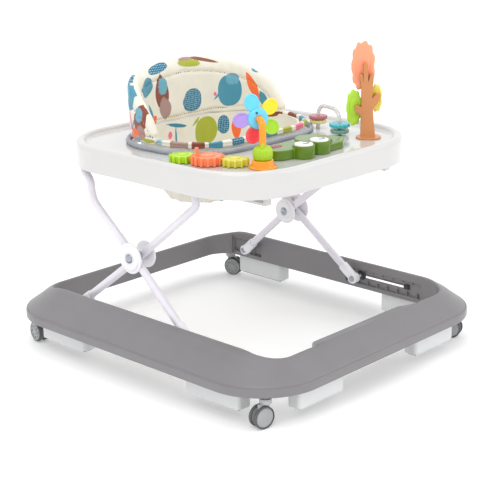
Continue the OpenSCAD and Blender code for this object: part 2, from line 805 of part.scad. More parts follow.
base_shell();
slot_rail_left();
slot_rail_right();
rear_bracket_left();
rear_bracket_right();
slot_stop_left();
slot_stop_right();
stopper_front_left();
stopper_front_right();
stopper_side_front_left();
stopper_side_front_right();
stopper_side_rear_left();
stopper_side_rear_right();
stopper_pads();
caster_fork_front_left();
caster_fork_front_right();
caster_fork_rear_left();
caster_fork_rear_right();
caster_wheels_front_left();
caster_wheels_front_right();
caster_wheels_rear_left();
caster_wheels_rear_right();
rear_leg_tube();
rear_leg_caps();
hub_inner_discs();
hub_rivets();
front_leg_tube();
front_leg_caps();
hub_outer_discs();
slot_shoes();
tray_slides();
tray_shell();
tray_pivot_brackets();
tray_rails();
seat_piping();
seat_back();
seat_collar();
seat_pouch();
croc_body();
croc_eye_left();
croc_eye_right();
tree_trunk();
tree_leaf_coral();
tree_leaf_lime();
tree_leaf_yellow();
bead_arch();
bead_rose();
bead_cream();
bead_turquoise();
bead_sage();
flower_base();
flower_bulb();
flower_stem();
flower_hub();
flower_petals();
gear_pins();
gear_green();
gear_coral();
gear_yellow();
crank_knob();
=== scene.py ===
import math

import bmesh
import bpy
import numpy as np
from mathutils import Matrix, Vector


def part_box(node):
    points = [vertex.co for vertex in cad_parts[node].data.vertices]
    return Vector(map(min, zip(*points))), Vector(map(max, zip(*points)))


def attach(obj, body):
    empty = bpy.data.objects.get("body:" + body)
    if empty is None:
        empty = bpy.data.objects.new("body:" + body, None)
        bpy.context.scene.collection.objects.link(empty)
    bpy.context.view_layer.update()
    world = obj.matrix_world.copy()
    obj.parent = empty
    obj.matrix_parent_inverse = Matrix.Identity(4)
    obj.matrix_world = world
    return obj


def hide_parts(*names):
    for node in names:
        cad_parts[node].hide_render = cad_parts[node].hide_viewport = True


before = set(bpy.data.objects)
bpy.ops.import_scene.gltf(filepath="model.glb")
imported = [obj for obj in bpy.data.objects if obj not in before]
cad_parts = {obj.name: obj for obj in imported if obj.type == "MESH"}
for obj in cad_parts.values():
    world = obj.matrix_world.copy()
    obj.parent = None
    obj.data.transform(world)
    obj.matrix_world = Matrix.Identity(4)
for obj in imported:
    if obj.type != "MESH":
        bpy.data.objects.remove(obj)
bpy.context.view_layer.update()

# ---------- the room ----------
# A small product studio: a pale backlit floor under large soft boxes, seen from the walker's
# front left corner at child height. Nothing here belongs to the walker.

mm = 0.001


def linear(hex_colour):
    """sRGB hex colour as the linear RGBA that a shader socket takes."""
    parts = [int(hex_colour[i:i + 2], 16) / 255 for i in (1, 3, 5)]
    return tuple(p / 12.92 if p <= 0.04045 else ((p + 0.055) / 1.055) ** 2.4 for p in parts) + (1.0,)


def add(tree, kind, inputs=None, **settings):
    """Adds a node; inputs gives a value or another node's output for each named or numbered socket."""
    made = tree.nodes.new(kind)
    for key, value in settings.items():
        setattr(made, key, value)
    for key, value in (inputs or {}).items():
        if isinstance(value, bpy.types.NodeSocket):
            tree.links.new(value, made.inputs[key])
        else:
            made.inputs[key].default_value = value
    return made


def keep(mesh, name):
    """Puts a mesh into the scene under a piece name."""
    piece = bpy.data.objects.new(name, mesh)
    mesh.name = name
    bpy.context.scene.collection.objects.link(piece)
    return piece


camera = bpy.data.objects.new("camera", bpy.data.cameras.new("camera"))
bpy.context.scene.collection.objects.link(camera)
azimuth, elevation, roll = math.radians(-46.17), math.radians(16.74), -0.0161
back = Vector((math.sin(azimuth) * math.cos(elevation), -math.cos(azimuth) * math.cos(elevation),
               math.sin(elevation)))
level = Vector((math.cos(azimuth), math.sin(azimuth), 0))
upward = back.cross(level)
right = level * math.cos(roll) + upward * math.sin(roll)
up = -level * math.sin(roll) + upward * math.cos(roll)
stand = Vector((-1.8331, -1.7476, 0.9738))
camera.matrix_world = Matrix(((right.x, up.x, back.x, stand.x), (right.y, up.y, back.y, stand.y),
                              (right.z, up.z, back.z, stand.z), (0, 0, 0, 1)))
camera.data.lens = 97.75
camera.data.sensor_width = 36
bpy.context.scene.camera = camera
bpy.context.scene.view_settings.view_transform = "Standard"

world = bpy.data.worlds.new("studio_air")
bpy.context.scene.world = world
world.use_nodes = True
world.node_tree.nodes["Background"].inputs["Color"].default_value = linear("#FFFFFF")
world.node_tree.nodes["Background"].inputs["Strength"].default_value = 1.05

for name, place, size, power in (("key_softbox", (-1.6, -0.9, 2.6), 1.6, 17),
                                 ("fill_softbox", (1.5, -2.2, 1.6), 1.8, 8),
                                 ("top_softbox", (0.4, 0.6, 2.8), 1.6, 11)):
    lamp = bpy.data.objects.new(name, bpy.data.lights.new(name, "AREA"))
    lamp.data.shape = "SQUARE"
    lamp.data.size = size
    lamp.data.energy = power
    lamp.location = place
    lamp.rotation_mode = "QUATERNION"
    lamp.rotation_quaternion = (Vector((0, 0, 0.25)) - Vector(place)).to_track_quat("-Z", "Y")
    bpy.context.scene.collection.objects.link(lamp)

paper = bpy.data.materials.new("seamless_paper")
paper.use_nodes = True
tree = paper.node_tree
grain = add(tree, "ShaderNodeTexNoise",
            {"Vector": add(tree, "ShaderNodeTexCoord").outputs["Object"], "Scale": 900.0})
tree.nodes["Principled BSDF"].inputs["Base Color"].default_value = linear("#F6F6F6")
tree.nodes["Principled BSDF"].inputs["Roughness"].default_value = 0.85
tree.nodes["Principled BSDF"].inputs["Emission Color"].default_value = linear("#FFFFFF")
tree.nodes["Principled BSDF"].inputs["Emission Strength"].default_value = 0.18
tree.links.new(add(tree, "ShaderNodeBump",
                   {"Height": grain.outputs["Fac"], "Strength": 0.05}).outputs["Normal"],
               tree.nodes["Principled BSDF"].inputs["Normal"])
floor_mesh = bpy.data.meshes.new("floor")
floor_mesh.from_pydata([(-9, -9, 0), (9, -9, 0), (9, 9, 0), (-9, 9, 0)], [], [(0, 1, 2, 3)])
floor = keep(floor_mesh, "floor")
floor.data.materials.append(paper)

# ---------- base shell ----------
# The ring that carries the casters: one injection-moulded shell of grey polypropylene, open below,
# with a lip round its foot, a sloping skin and a rounded ridge; the front runs inward as a shelf.


def moulded(name, colour, rough=0.4, grain_mm=1.0, grain_depth=0.08, coat=0.0, shift="#000000",
            shift_share=0.05,
            ior=1.5):
    """A moulded plastic: faint uneven tint, and a fine mould texture in its gloss and bump."""
    made = bpy.data.materials.new(name)
    made.use_nodes = True
    tree = made.node_tree
    shader = tree.nodes["Principled BSDF"]
    place = add(tree, "ShaderNodeTexCoord").outputs["Object"]
    cloud = add(tree, "ShaderNodeTexNoise", {"Vector": place, "Scale": 14.0, "Detail": 3.0})
    share = add(tree, "ShaderNodeMapRange",
                {"Value": cloud.outputs["Fac"], "From Min": 0.35, "From Max": 0.7,
                                             "To Min": 0.0, "To Max": shift_share})
    tint = add(tree, "ShaderNodeMix",
               {"Factor": share.outputs["Result"], 6: linear(colour), 7: linear(shift)},
               data_type="RGBA")
    tree.links.new(tint.outputs[2], shader.inputs["Base Color"])
    texture = add(tree, "ShaderNodeTexNoise",
                  {"Vector": place, "Scale": 1 / (grain_mm * mm), "Detail": 2.0})
    gloss = add(tree, "ShaderNodeMapRange",
                {"Value": texture.outputs["Fac"], "From Min": 0.3, "From Max": 0.7,
                                             "To Min": max(0.02, rough - 0.05), "To Max": rough + 0.05})
    tree.links.new(gloss.outputs["Result"], shader.inputs["Roughness"])
    bump = add(tree, "ShaderNodeBump",
               {"Height": texture.outputs["Fac"], "Strength": grain_depth, "Distance": 0.3 * mm})
    tree.links.new(bump.outputs["Normal"], shader.inputs["Normal"])
    shader.inputs["IOR"].default_value = ior
    shader.inputs["Coat Weight"].default_value = coat
    shader.inputs["Coat Roughness"].default_value = 0.06
    return made


def round_angles(count):
    """Angles of equal steps round a full circle."""
    return np.linspace(0, 2 * math.pi, count, endpoint=False)


def capped(loops):
    """The same loops with one at each end shrunk to its middle, so that their loft is closed."""
    ends = [Vector(np.mean([tuple(p) for p in loop], axis=0)) for loop in (loops[0], loops[-1])]
    return [[ends[0]] * len(loops[0])] + loops + [[ends[1]] * len(loops[-1])]


def loft(loops, closed_section=False):
    """Mesh of quads between successive loops of equal length."""
    count = len(loops[0])
    points = [p for loop in loops for p in loop]
    faces = []
    rows = len(loops) if closed_section else len(loops) - 1
    for j in range(rows):
        a, b = j * count, ((j + 1) % len(loops)) * count
        for i in range(count):
            k = (i + 1) % count
            faces.append((a + i, a + k, b + k, b + i))
    mesh = bpy.data.meshes.new("loft")
    mesh.from_pydata([tuple(float(c) * mm for c in p) for p in points], [], faces)
    mesh.update()
    return mesh


def outward(mesh):
    """Recalculates a closed mesh's normals to point outwards."""
    shape = bmesh.new()
    shape.from_mesh(mesh)
    bmesh.ops.remove_doubles(shape, verts=shape.verts, dist=0.02 * mm)
    bmesh.ops.recalc_face_normals(shape, faces=shape.faces)
    shape.to_mesh(mesh)
    shape.free()
    return mesh


def baked(piece):
    """Applies every modifier of a piece, so that its mesh is plain."""
    graph = bpy.context.evaluated_depsgraph_get()
    graph.update()
    made = bpy.data.meshes.new_from_object(piece.evaluated_get(graph))
    piece.modifiers.clear()
    old, piece.data = piece.data, made
    made.name = piece.name
    bpy.data.meshes.remove(old)
    return piece


def smooth(piece, angle=40):
    """Shades a piece smooth, with edges sharper than the angle kept crisp."""
    mesh = piece.data
    mesh.polygons.foreach_set("use_smooth", [True] * len(mesh.polygons))
    mesh.set_sharp_from_angle(angle=math.radians(angle))
    return piece


def finished(piece, body, material, *nodes, slot=None, angle=40):
    """Gives a piece its material and smooth shading, and lets it stand for CAD nodes on their body."""
    piece.data.materials.clear()
    piece.data.materials.append(material)
    smooth(piece, angle)
    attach(piece, body)
    if nodes:
        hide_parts(*nodes)
    return piece


def inside(p, hx, y0, y1, r):
    """Distance of a plan point from a rounded rectangle's edge, negative inside, in millimetres."""
    cy = (y0 + y1) / 2
    qx, qy = abs(p[0]) - hx + r, abs(p[1] - cy) - (y1 - y0) / 2 + r
    return math.hypot(max(qx, 0), max(qy, 0)) + min(max(qx, qy), 0) - r


def outline(hx, y0, y1, r, step):
    """Points and inward normals round a rounded rectangle, anticlockwise from the right side."""
    walk = []
    corners = [((hx - r, y1 - r), 0), ((-hx + r, y1 - r), 90), ((-hx + r, y0 + r), 180),
               ((hx - r, y0 + r), 270)]
    for k, ((cx, cy), start) in enumerate(corners):
        for a in np.linspace(start, start + 90, max(3, round(r * math.pi / 2 / step))):
            c, s = math.cos(math.radians(a)), math.sin(math.radians(a))
            walk.append(((cx + r * c, cy + r * s), (-c, -s)))
        end, (nx, ny) = walk[-1]
        (tx, ty), turn = corners[(k + 1) % 4]
        goal = (tx + r * math.cos(math.radians(turn)), ty + r * math.sin(math.radians(turn)))
        length = math.dist(end, goal)
        for f in np.linspace(0, 1, max(2, round(length / step)) + 1)[1:-1]:
            walk.append(((end[0] + (goal[0] - end[0]) * f, end[1] + (goal[1] - end[1]) * f), (nx, ny)))
    return walk


base_hx, base_hy, base_r = 341, 373, 128
opening = (266, -317, 324, 50)
shelf_edge, shelf_half, shelf_foot = -287, 125, 155


def in_opening(p):
    """True where the base ring is open: inside the opening and not on the front shelf."""
    if inside(p, *opening) >= 0:
        return False
    half = shelf_half + (shelf_edge - p[1]) * (shelf_foot - shelf_half) / 32
    return not (p[1] < shelf_edge and abs(p[0]) < half)


def skin_height(d, p):
    """Height of the base's skin at a distance in from its edge, before the ridge is rounded: a slope with
    a soft crease and a groove above the lip, drawn down to a flat shelf along the front."""
    z = np.interp(d, [0, 3, 38, 62, 75, 90], [74, 77, 102, 117, 122, 122.5])
    z += 0.8 * math.exp(-((d - 38) / 7) ** 2) - 1.6 * math.exp(-((d - 3.6) / 0.9) ** 2)
    flat = 110.5 - (d - 54) * 7 / 26
    if p[1] < -300 or d > 60:
        share = min(max((shelf_foot + 14 - abs(p[0])) / 16, 0), 1) if p[1] < -240 else 0
        if share > 0 and z > flat:
            z += (flat - z) * share * share * (3 - 2 * share)
    return z


loops = [[] for _ in range(36)]
for (px, py), (nx, ny) in outline(base_hx, -base_hy, base_hy, base_r, 5.5):
    nearest = 30 if in_opening((px + nx * base_r, py + ny * base_r)) else 40
    high = next(d for d in np.arange(nearest, base_r + 60, 0.5) if in_opening((px + nx * d, py + ny * d)))
    low = high - 0.5
    for _ in range(12):
        middle = (low + high) / 2
        low, high = (low, middle) if in_opening((px + nx * middle, py + ny * middle)) else (middle, high)
    width = high
    ridge = 7.0
    section = [(2.2, 61), (0.6, 60), (0, 61), (0, 67), (0, 73), (0.5, 74.6), (1.5, 75.9)]
    section += [(d, skin_height(d, (px, py))) for d in (2.6, 3.2, 3.7, 4.4, 6)]
    for f in np.linspace(0, 1, 15)[1:]:
        d = 6 + (width - ridge - 6) * f
        section.append((d, skin_height(d, (px, py))))
    for a in (15, 32, 48, 64, 78, 90):
        a = math.radians(a)
        d = width - ridge + ridge * math.sin(a)
        section.append((d, skin_height(min(d, width - 1), (px, py)) - ridge * (1 - math.cos(a))))
    ridge_foot = section[-1][1]
    section += [(width, ridge_foot + (61 - ridge_foot) * f) for f in (0.15, 0.4, 0.7, 1)]
    for loop, (d, z) in zip(loops, section):
        loop.append((px + nx * d, py + ny * d, z))
shell = keep(loft(loops), "base_ring")
shape = bmesh.new()
shape.from_mesh(shell.data)
bmesh.ops.remove_doubles(shape, verts=shape.verts, dist=0.05 * mm)
bmesh.ops.recalc_face_normals(shape, faces=shape.faces)
if sum(f.normal.z * f.calc_area() for f in shape.faces) < 0:
    bmesh.ops.reverse_faces(shape, faces=shape.faces)
shape.to_mesh(shell.data)
shape.free()
skin = shell.modifiers.new("skin", "SOLIDIFY")
skin.thickness = 3 * mm
skin.offset = -1
baked(shell)


def block(x0, x1, y0, y1, z0, z1):
    """Corners and faces of a plain box, used to cut windows."""
    points = [(x, y, z) for x in (x0, x1) for y in (y0, y1) for z in (z0, z1)]
    faces = [(0, 1, 3, 2), (4, 6, 7, 5), (0, 4, 5, 1), (2, 3, 7, 6), (0, 2, 6, 4), (1, 5, 7, 3)]
    mesh = bpy.data.meshes.new("block")
    mesh.from_pydata([tuple(c * mm for c in p) for p in points], [], faces)
    return mesh


windows = []
for side in (-1, 1):
    for y0, y1 in ((-251, -45), (197, 291)):
        windows.append(keep(block(*sorted((side * 258, side * 272)), y0, y1, 66, 106), "window"))
        cut = shell.modifiers.new("window", "BOOLEAN")
        cut.operation = "DIFFERENCE"
        cut.solver = "EXACT"
        cut.object = windows[-1]
baked(shell)
for window in windows:
    bpy.data.objects.remove(window)

# A soft satin grey: the tool's fine spark texture breaks the reflections up into a broad glow.
base_plastic = moulded("moulded_polypropylene_grey", "#7F7D7F", 0.38, 0.7, 0.10, shift="#737173",
                       shift_share=0.25)
finished(shell, "base", base_plastic, "base_shell", slot="grey_plastic", angle=30)

# ---------- slot rails and rear brackets ----------
# Grey plates snapped into windows of the base's inner side walls. Each front one has the slot that
# the front foot slides in, with a black stop; both have thin moulded ribs in their shallow recess.


def machined(name, body, material, *nodes, edge=0.8, steps=3, slot=None, angle=35):
    """A piece in the frame parts' own shape, with its edges rounded over."""
    shape = bmesh.new()
    for part in nodes:
        shape.from_mesh(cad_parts[part].data)
    bmesh.ops.remove_doubles(shape, verts=shape.verts, dist=0.01 * mm)
    bmesh.ops.dissolve_limit(shape, angle_limit=math.radians(0.8), verts=shape.verts, edges=shape.edges)
    mesh = bpy.data.meshes.new(name)
    shape.to_mesh(mesh)
    shape.free()
    piece = keep(mesh, name)
    rounding = piece.modifiers.new("rounded_edges", "BEVEL")
    rounding.width = edge * mm
    rounding.segments = steps
    rounding.limit_method = "ANGLE"
    rounding.angle_limit = math.radians(angle)
    rounding.harden_normals = False
    return finished(baked(piece), body, material, *nodes, slot=slot, angle=50)


def grown(name, tree, material, **inputs):
    """A plain mesh from a geometry tree, with its named inputs set by their identifiers."""
    piece = keep(bpy.data.meshes.new(name), name)
    grower = piece.modifiers.new("grown", "NODES")
    grower.node_group = tree
    for item in tree.interface.items_tree:
        if item.item_type == "SOCKET" and item.in_out == "INPUT" and item.name in inputs:
            grower[item.identifier] = inputs[item.name]
    piece.update_tag()
    return baked(piece)


def named_inputs(tree, **kinds):
    """Declares a geometry tree's inputs and its output, and returns its input node."""
    for name, kind in kinds.items():
        tree.interface.new_socket(name, in_out="INPUT", socket_type="NodeSocket" + kind)
    tree.interface.new_socket("Geometry", in_out="OUTPUT", socket_type="NodeSocketGeometry")
    return tree.nodes.new("NodeGroupInput")


rib_row = bpy.data.node_groups.new("rib_row", "GeometryNodeTree")
given = named_inputs(rib_row, first="Vector", step="Vector", count="Int", size="Vector", finish="Material")
line = add(rib_row, "GeometryNodeMeshLine",
           {"Count": given.outputs["count"], "Start Location": given.outputs["first"],
                                            "Offset": given.outputs["step"]})
rib = add(rib_row, "GeometryNodeMeshCube", {"Size": given.outputs["size"]})
ribs = add(rib_row, "GeometryNodeInstanceOnPoints",
           {"Points": line.outputs["Mesh"], "Instance": rib.outputs["Mesh"]})
whole = add(rib_row, "GeometryNodeRealizeInstances", {"Geometry": ribs.outputs["Instances"]})
painted = add(rib_row, "GeometryNodeSetMaterial", {"Geometry": whole.outputs["Geometry"],
                                                   "Material": given.outputs["finish"]})
add(rib_row, "NodeGroupOutput", {"Geometry": painted.outputs["Geometry"]})

# Black nylon 6: a waxy half-gloss with hardly any texture, so only its edges catch light.
nylon = moulded("moulded_nylon_black", "#2B2B2D", 0.38, 0.5, 0.05, shift="#3C3C40", shift_share=0.3)
for side, word in ((-1, "left"), (1, "right")):
    machined("slot_rail_" + word, "base", base_plastic, "slot_rail_" + word, edge=0.7, slot="grey_plastic")
    machined("rear_bracket_" + word, "base", base_plastic, "rear_bracket_" + word, edge=0.7,
             slot="grey_plastic")
    machined("slot_stop_" + word, "base", nylon, "slot_stop_" + word, edge=1.0, slot="black_nylon")
    for row, (z, high, y0, count, pitch) in enumerate(((99.6, 4.6, -226, 7, 26), (74.4, 8.6, -238, 8, 26),
                                                       (101, 4, 208, 6, 15), (71.5, 4.6, 208, 6, 15))):
        ribs = grown(f"window_ribs_{word}_{row}", rib_row, base_plastic,
                     first=(side * 269.6 * mm, y0 * mm, z * mm),
                     step=(0, pitch * mm, 0), count=count, size=(4.8 * mm, 1.6 * mm, high * mm),
                     finish=base_plastic)
        finished(ribs, "base", base_plastic, slot="grey_plastic")

# ---------- stopper blocks ----------
# Six hollow blocks of light grey polypropylene hang below the rim, each with a rubber friction
# strip let into its underside; they grip the floor when a wheel drops over a step.

# Pale satin grey, slightly cooler than the base, with the same spark texture.
block_plastic = moulded("moulded_polypropylene_light", "#DADBDC", 0.45, 0.7, 0.08, shift="#C6C9CA",
                        shift_share=0.2)
# Black styrene rubber: dull, with a fine pebble that keeps highlights off it.
pad_rubber = moulded("moulded_rubber", "#2E2E30", 0.75, 1.6, 0.5, shift="#45464A", shift_share=0.3)
for part in ("front", "side_front", "side_rear"):
    for word in ("left", "right"):
        machined(f"stopper_{part}_{word}", "base", block_plastic, f"stopper_{part}_{word}", edge=1.3,
                 slot="light_grey_plastic")
machined("stopper_strips", "base", pad_rubber, "stopper_pads", edge=1.0, slot="pad_rubber")

# ---------- casters ----------
# Twin-wheel swivel casters: a light grey nylon fork with its stem in a socket of the base, and two
# wheel discs pressed on one steel axle. One face is a smooth dome, the other has eight round holes.


def turned(profile, origin, axis, across, count=64):
    """Mesh of a profile of [radius, distance along] turned about an axis, all in millimetres."""
    axis, across = Vector(axis).normalized(), Vector(across).normalized()
    third = axis.cross(across)
    loops = []
    for radius, along in profile:
        centre = Vector(origin) + axis * along
        loops.append([centre + (across * math.cos(a) + third * math.sin(a)) * max(radius, 0.001)
                      for a in round_angles(count)])
    return outward(loft(loops))


def joined(name, meshes):
    """One piece from several meshes."""
    shape = bmesh.new()
    for mesh in meshes:
        shape.from_mesh(mesh)
        bpy.data.meshes.remove(mesh)
    mesh = bpy.data.meshes.new(name)
    shape.to_mesh(mesh)
    shape.free()
    return keep(mesh, name)


hole_ring = bpy.data.node_groups.new("hole_ring", "GeometryNodeTree")
given = named_inputs(hole_ring, disc="Object", centre="Vector", turn="Vector", count="Int", ring="Float",
                     hole="Float",
                     deep="Float", finish="Material")
circle = add(hole_ring, "GeometryNodeMeshCircle",
             {"Vertices": given.outputs["count"], "Radius": given.outputs["ring"]})
drill = add(hole_ring, "GeometryNodeMeshCylinder", {"Vertices": 20, "Radius": given.outputs["hole"],
                                                    "Depth": given.outputs["deep"]})
drills = add(hole_ring, "GeometryNodeInstanceOnPoints", {"Points": circle.outputs["Mesh"],
                                                         "Instance": drill.outputs["Mesh"]})
placed = add(hole_ring, "GeometryNodeTransform", {"Geometry": drills.outputs["Instances"],
                                                  "Translation": given.outputs["centre"],
                                                  "Rotation": given.outputs["turn"]})
whole = add(hole_ring, "GeometryNodeRealizeInstances", {"Geometry": placed.outputs["Geometry"]})
source = add(hole_ring, "GeometryNodeObjectInfo", {"Object": given.outputs["disc"]})
bored = add(hole_ring, "GeometryNodeMeshBoolean", {"Mesh 1": source.outputs["Geometry"],
                                                   "Mesh 2": whole.outputs["Geometry"]},
                                                   operation="DIFFERENCE")
painted = add(hole_ring, "GeometryNodeSetMaterial", {"Geometry": bored.outputs["Mesh"],
                                                     "Material": given.outputs["finish"]})
add(hole_ring, "NodeGroupOutput", {"Geometry": painted.outputs["Geometry"]})

caster_x, caster_y, caster_turn, wheel_r, trail = 290, 322, (80, 19, 171, -162), 21, 9
# Light grey glass-filled nylon: satin, a little rougher than the blocks.
fork_plastic = moulded("moulded_nylon_grey", "#B9BBBA", 0.42, 0.5, 0.07, shift="#9FA2A4", shift_share=0.3)
# Mid grey wheel plastic with a softer, darker tyre pressed round it.
wheel_plastic = moulded("moulded_wheel_grey", "#A2A4A4", 0.36, 0.6, 0.06, shift="#8B8E90", shift_share=0.3)
tyre_rubber = moulded("moulded_tyre_rubber", "#57595C", 0.7, 0.8, 0.3, shift="#6D6E70", shift_share=0.4)
# Zinc-plated steel: a cool bright metal with a faint drawn haze.
plated_steel = bpy.data.materials.new("zinc_plated_steel")
plated_steel.use_nodes = True
shader = plated_steel.node_tree.nodes["Principled BSDF"]
shader.inputs["Metallic"].default_value = 1.0
shader.inputs["Base Color"].default_value = linear("#A6ACB6")
haze = add(plated_steel.node_tree, "ShaderNodeTexNoise", {
    "Vector": add(plated_steel.node_tree, "ShaderNodeTexCoord").outputs["Object"], "Scale": 900.0})
gloss = add(plated_steel.node_tree, "ShaderNodeMapRange",
            {"Value": haze.outputs["Fac"], "To Min": 0.22, "To Max": 0.42})
plated_steel.node_tree.links.new(gloss.outputs["Result"], shader.inputs["Roughness"])

for k, place in enumerate(("front_left", "front_right", "rear_left", "rear_right")):
    stem = Vector(((1 if k % 2 else -1) * caster_x, (-1 if k < 2 else 1) * caster_y, 0))
    turn = Matrix.Rotation(math.radians(caster_turn[k]), 3, "Z")
    out, hub = turn @ Vector((1, 0, 0)), stem + turn @ Vector((0, trail, wheel_r))
    over = turn @ Vector((0, 1, 0))
    machined("fork_" + place, "fork_" + place, fork_plastic, "caster_fork_" + place, edge=1.2,
             slot="fork_plastic")
    dome = turned([(0, 4.8), (18.2, 4.8), (18.4, 8.5), (18.1, 9.6), (17.2, 10.5), (15, 11.2), (11, 11.9),
                   (5, 12.3),
                   (0, 12.4)], hub, -out, over)
    blank = keep(turned([(0, 4.8), (18.2, 4.8), (18.4, 11.3), (18.1, 12), (17.4, 12.3), (16.6, 12),
                         (16.2, 10.6),
                         (7.4, 10.6), (6.9, 11.2), (6.4, 12), (5.6, 12.3), (3.4, 12.3), (3.1, 11.6),
                         (0, 11.6)],
                        hub, out, over), "blank")
    holed = grown("holed", hole_ring, wheel_plastic, disc=blank, centre=hub * mm + out * 10.5 * mm,
                  turn=out.to_track_quat("Z", "Y").to_euler(), count=8, ring=11.8 * mm, hole=2.1 * mm,
                  deep=5 * mm,
                  finish=wheel_plastic)
    bpy.data.objects.remove(blank)
    discs = joined("wheel_discs_" + place, [dome, holed.data.copy()])
    bpy.data.objects.remove(holed)
    finished(discs, "wheels_" + place, wheel_plastic, "caster_wheels_" + place, slot="wheel_plastic")
    tyres = joined("tyres_" + place,
                   [turned([(18.7, 4.6), (20.6, 4.6), (21, 5.2), (21, 9.6), (20.6, 10.6), (19.8, 11),
                                              (18.7, 10.6), (18.7, 4.6)], hub, side * out,
                                              over) for side in (-1, 1)])
    finished(tyres, "wheels_" + place, tyre_rubber, slot="wheel_plastic")
    pin = joined("axle_" + place, [turned([(0, -12.9), (2.2, -12.9), (2.9, -12.4), (2.95, 12.1),
                                           (2.2, 12.4), (0, 12.4)],
                                          hub, out, over, 32)])
    finished(pin, "wheels_" + place, plated_steel, slot="rivet_steel")

# ---------- scissor legs ----------
# Two U-shaped frames of 16 mm steel tube, powder-coated white, cross on each side and are riveted
# there between white plastic discs; flattened plastic caps close their feet round the pivot pins.

foot_x, front_x, rear_x, hub_y, hub_z, foot_z, top_z, tube_r = 246, 235, 215, 71, 217, 88, 378, 8


def bent(path, radii, step=3.0):
    """Points along a path whose inner corners are rounded to the given radii."""
    path = [Vector(p) for p in path]
    walk = [path[0]]
    for a, b, c, radius in zip(path, path[1:], path[2:], radii):
        u, v = (b - a).normalized(), (c - b).normalized()
        turn = u.angle(v)
        if turn < 0.002:
            continue
        cut = radius * math.tan(turn / 2)
        inward = (v - u * u.dot(v)).normalized()
        centre = b - u * cut + inward * radius
        for f in np.linspace(0, turn, max(3, round(radius * turn / step))):
            walk.append(centre + (-inward * math.cos(f) + u * math.sin(f)) * radius)
    walk.append(path[-1])
    even = [walk[0]]
    for a, b in zip(walk, walk[1:]):
        parts = max(1, round((b - a).length / 12))
        even += [a.lerp(b, (i + 1) / parts) for i in range(parts)]
    return even


def swept(points, radius, count=24, closed=False, ruffle=None):
    """Mesh of a round section carried along points; ruffle gives a change of radius at each ring and side."""
    loops, n = [], len(points)
    tangents = [((points[(i + 1) % n] if closed or i < n - 1 else points[i]) -
                 (points[i - 1] if closed or i > 0 else points[i])).normalized() for i in range(n)]
    side = tangents[0].orthogonal().normalized()
    for i, (p, t) in enumerate(zip(points, tangents)):
        side = (side - t * side.dot(t)).normalized()
        third = t.cross(side)
        loops.append([p + (side * math.cos(a) + third * math.sin(a)) * (radius + (ruffle(i,
                                                                                         a) if ruffle else 0))
                      for a in round_angles(count)])
    if not closed:
        loops = [[points[0]] * count] + loops + [[points[-1]] * count]
    return outward(loft(loops, closed_section=closed))


def powder(name, colour):
    """Powder coat on steel: a satin sheen with the shallow orange peel of the baked powder."""
    made = moulded(name, colour, 0.3, 2.2, 0.12, shift="#CFC9D8", shift_share=0.25)
    made.node_tree.nodes["Principled BSDF"].inputs["Coat Weight"].default_value = 0.35
    return made


def shaped(name, body, material, *nodes, voxel=0.9, passes=8, slot=None):
    """A piece in the frame parts' own shape, remeshed fine and smoothed, so that all its edges are soft."""
    shape = bmesh.new()
    for part in nodes:
        shape.from_mesh(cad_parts[part].data)
    bmesh.ops.remove_doubles(shape, verts=shape.verts, dist=0.01 * mm)
    mesh = bpy.data.meshes.new(name)
    shape.to_mesh(mesh)
    shape.free()
    piece = keep(mesh, name)
    remesh = piece.modifiers.new("remesh", "REMESH")
    remesh.mode = "VOXEL"
    remesh.voxel_size = voxel * mm
    soften = piece.modifiers.new("soften", "SMOOTH")
    soften.iterations = passes
    soften.factor = 0.5
    return finished(baked(piece), body, material, *nodes, slot=slot, angle=180)


coated_tube = powder("powder_coated_steel", "#E6E2EA")
# White nylon fittings: smooth, bright, a little glossier than the tubes.
white_nylon = moulded("moulded_nylon_white", "#EEEDF0", 0.3, 0.8, 0.05, shift="#DAD9E0", shift_share=0.3,
                      coat=0.2)

rear_path = [(foot_x, 230, foot_z), (rear_x, hub_y, hub_z), (rear_x, -86, 343), (rear_x, -79, top_z)]
front_path = [(foot_x, -88, foot_z), (front_x, hub_y, hub_z), (front_x, 191, 314), (front_x, 191, 350),
              (front_x, 221, top_z)]
for name, half, radii in (("rear_leg", rear_path, [90, 20, 20]),
                          ("front_leg", front_path, [90, 50, 20, 20])):
    half = [Vector(p) for p in half]
    half[0] = half[0] + (half[1] - half[0]).normalized() * 14
    path = half + [Vector((-p.x, p.y, p.z)) for p in reversed(half)]
    tube = keep(swept(bent(path, radii + radii[::-1]), tube_r, 28), name + "_frame")
    finished(tube, name, coated_tube, name + "_tube", slot="coated_tube")
    shaped(name + "_feet", name, white_nylon, name + "_caps", voxel=1.0, slot="white_fitting")

inners, outers = [], []
for side in (-1, 1):
    out = Vector((side, 0, 0))
    inners.append(turned([(5.2, 0), (26, 0), (27, -1), (27, -3.4), (26.2, -4.4), (22.5, -4.8), (21.8, -5.6),
                          (21, -6.8),
                    (19.6, -7), (5.2, -7), (5.2, 0)], (side * 207, hub_y, hub_z), out, (0, 1, 0), 72))
    outers.append(turned([(5.2, 0), (30, 0), (31, 1), (31, 3.2), (30.2, 4.2), (25.5, 4.6), (24.8, 5.4),
                          (24, 6.8), (22.6, 7),
                    (12, 7), (11, 6.4), (5.2, 6.4), (5.2, 0)], (side * 243, hub_y, hub_z), out, (0, 1, 0),
                    72))
finished(joined("hub_inner_washers", inners), "rear_leg", white_nylon, "hub_inner_discs",
         slot="white_fitting")
finished(joined("hub_outer_washers", outers), "front_leg", white_nylon, "hub_outer_discs",
         slot="white_fitting")

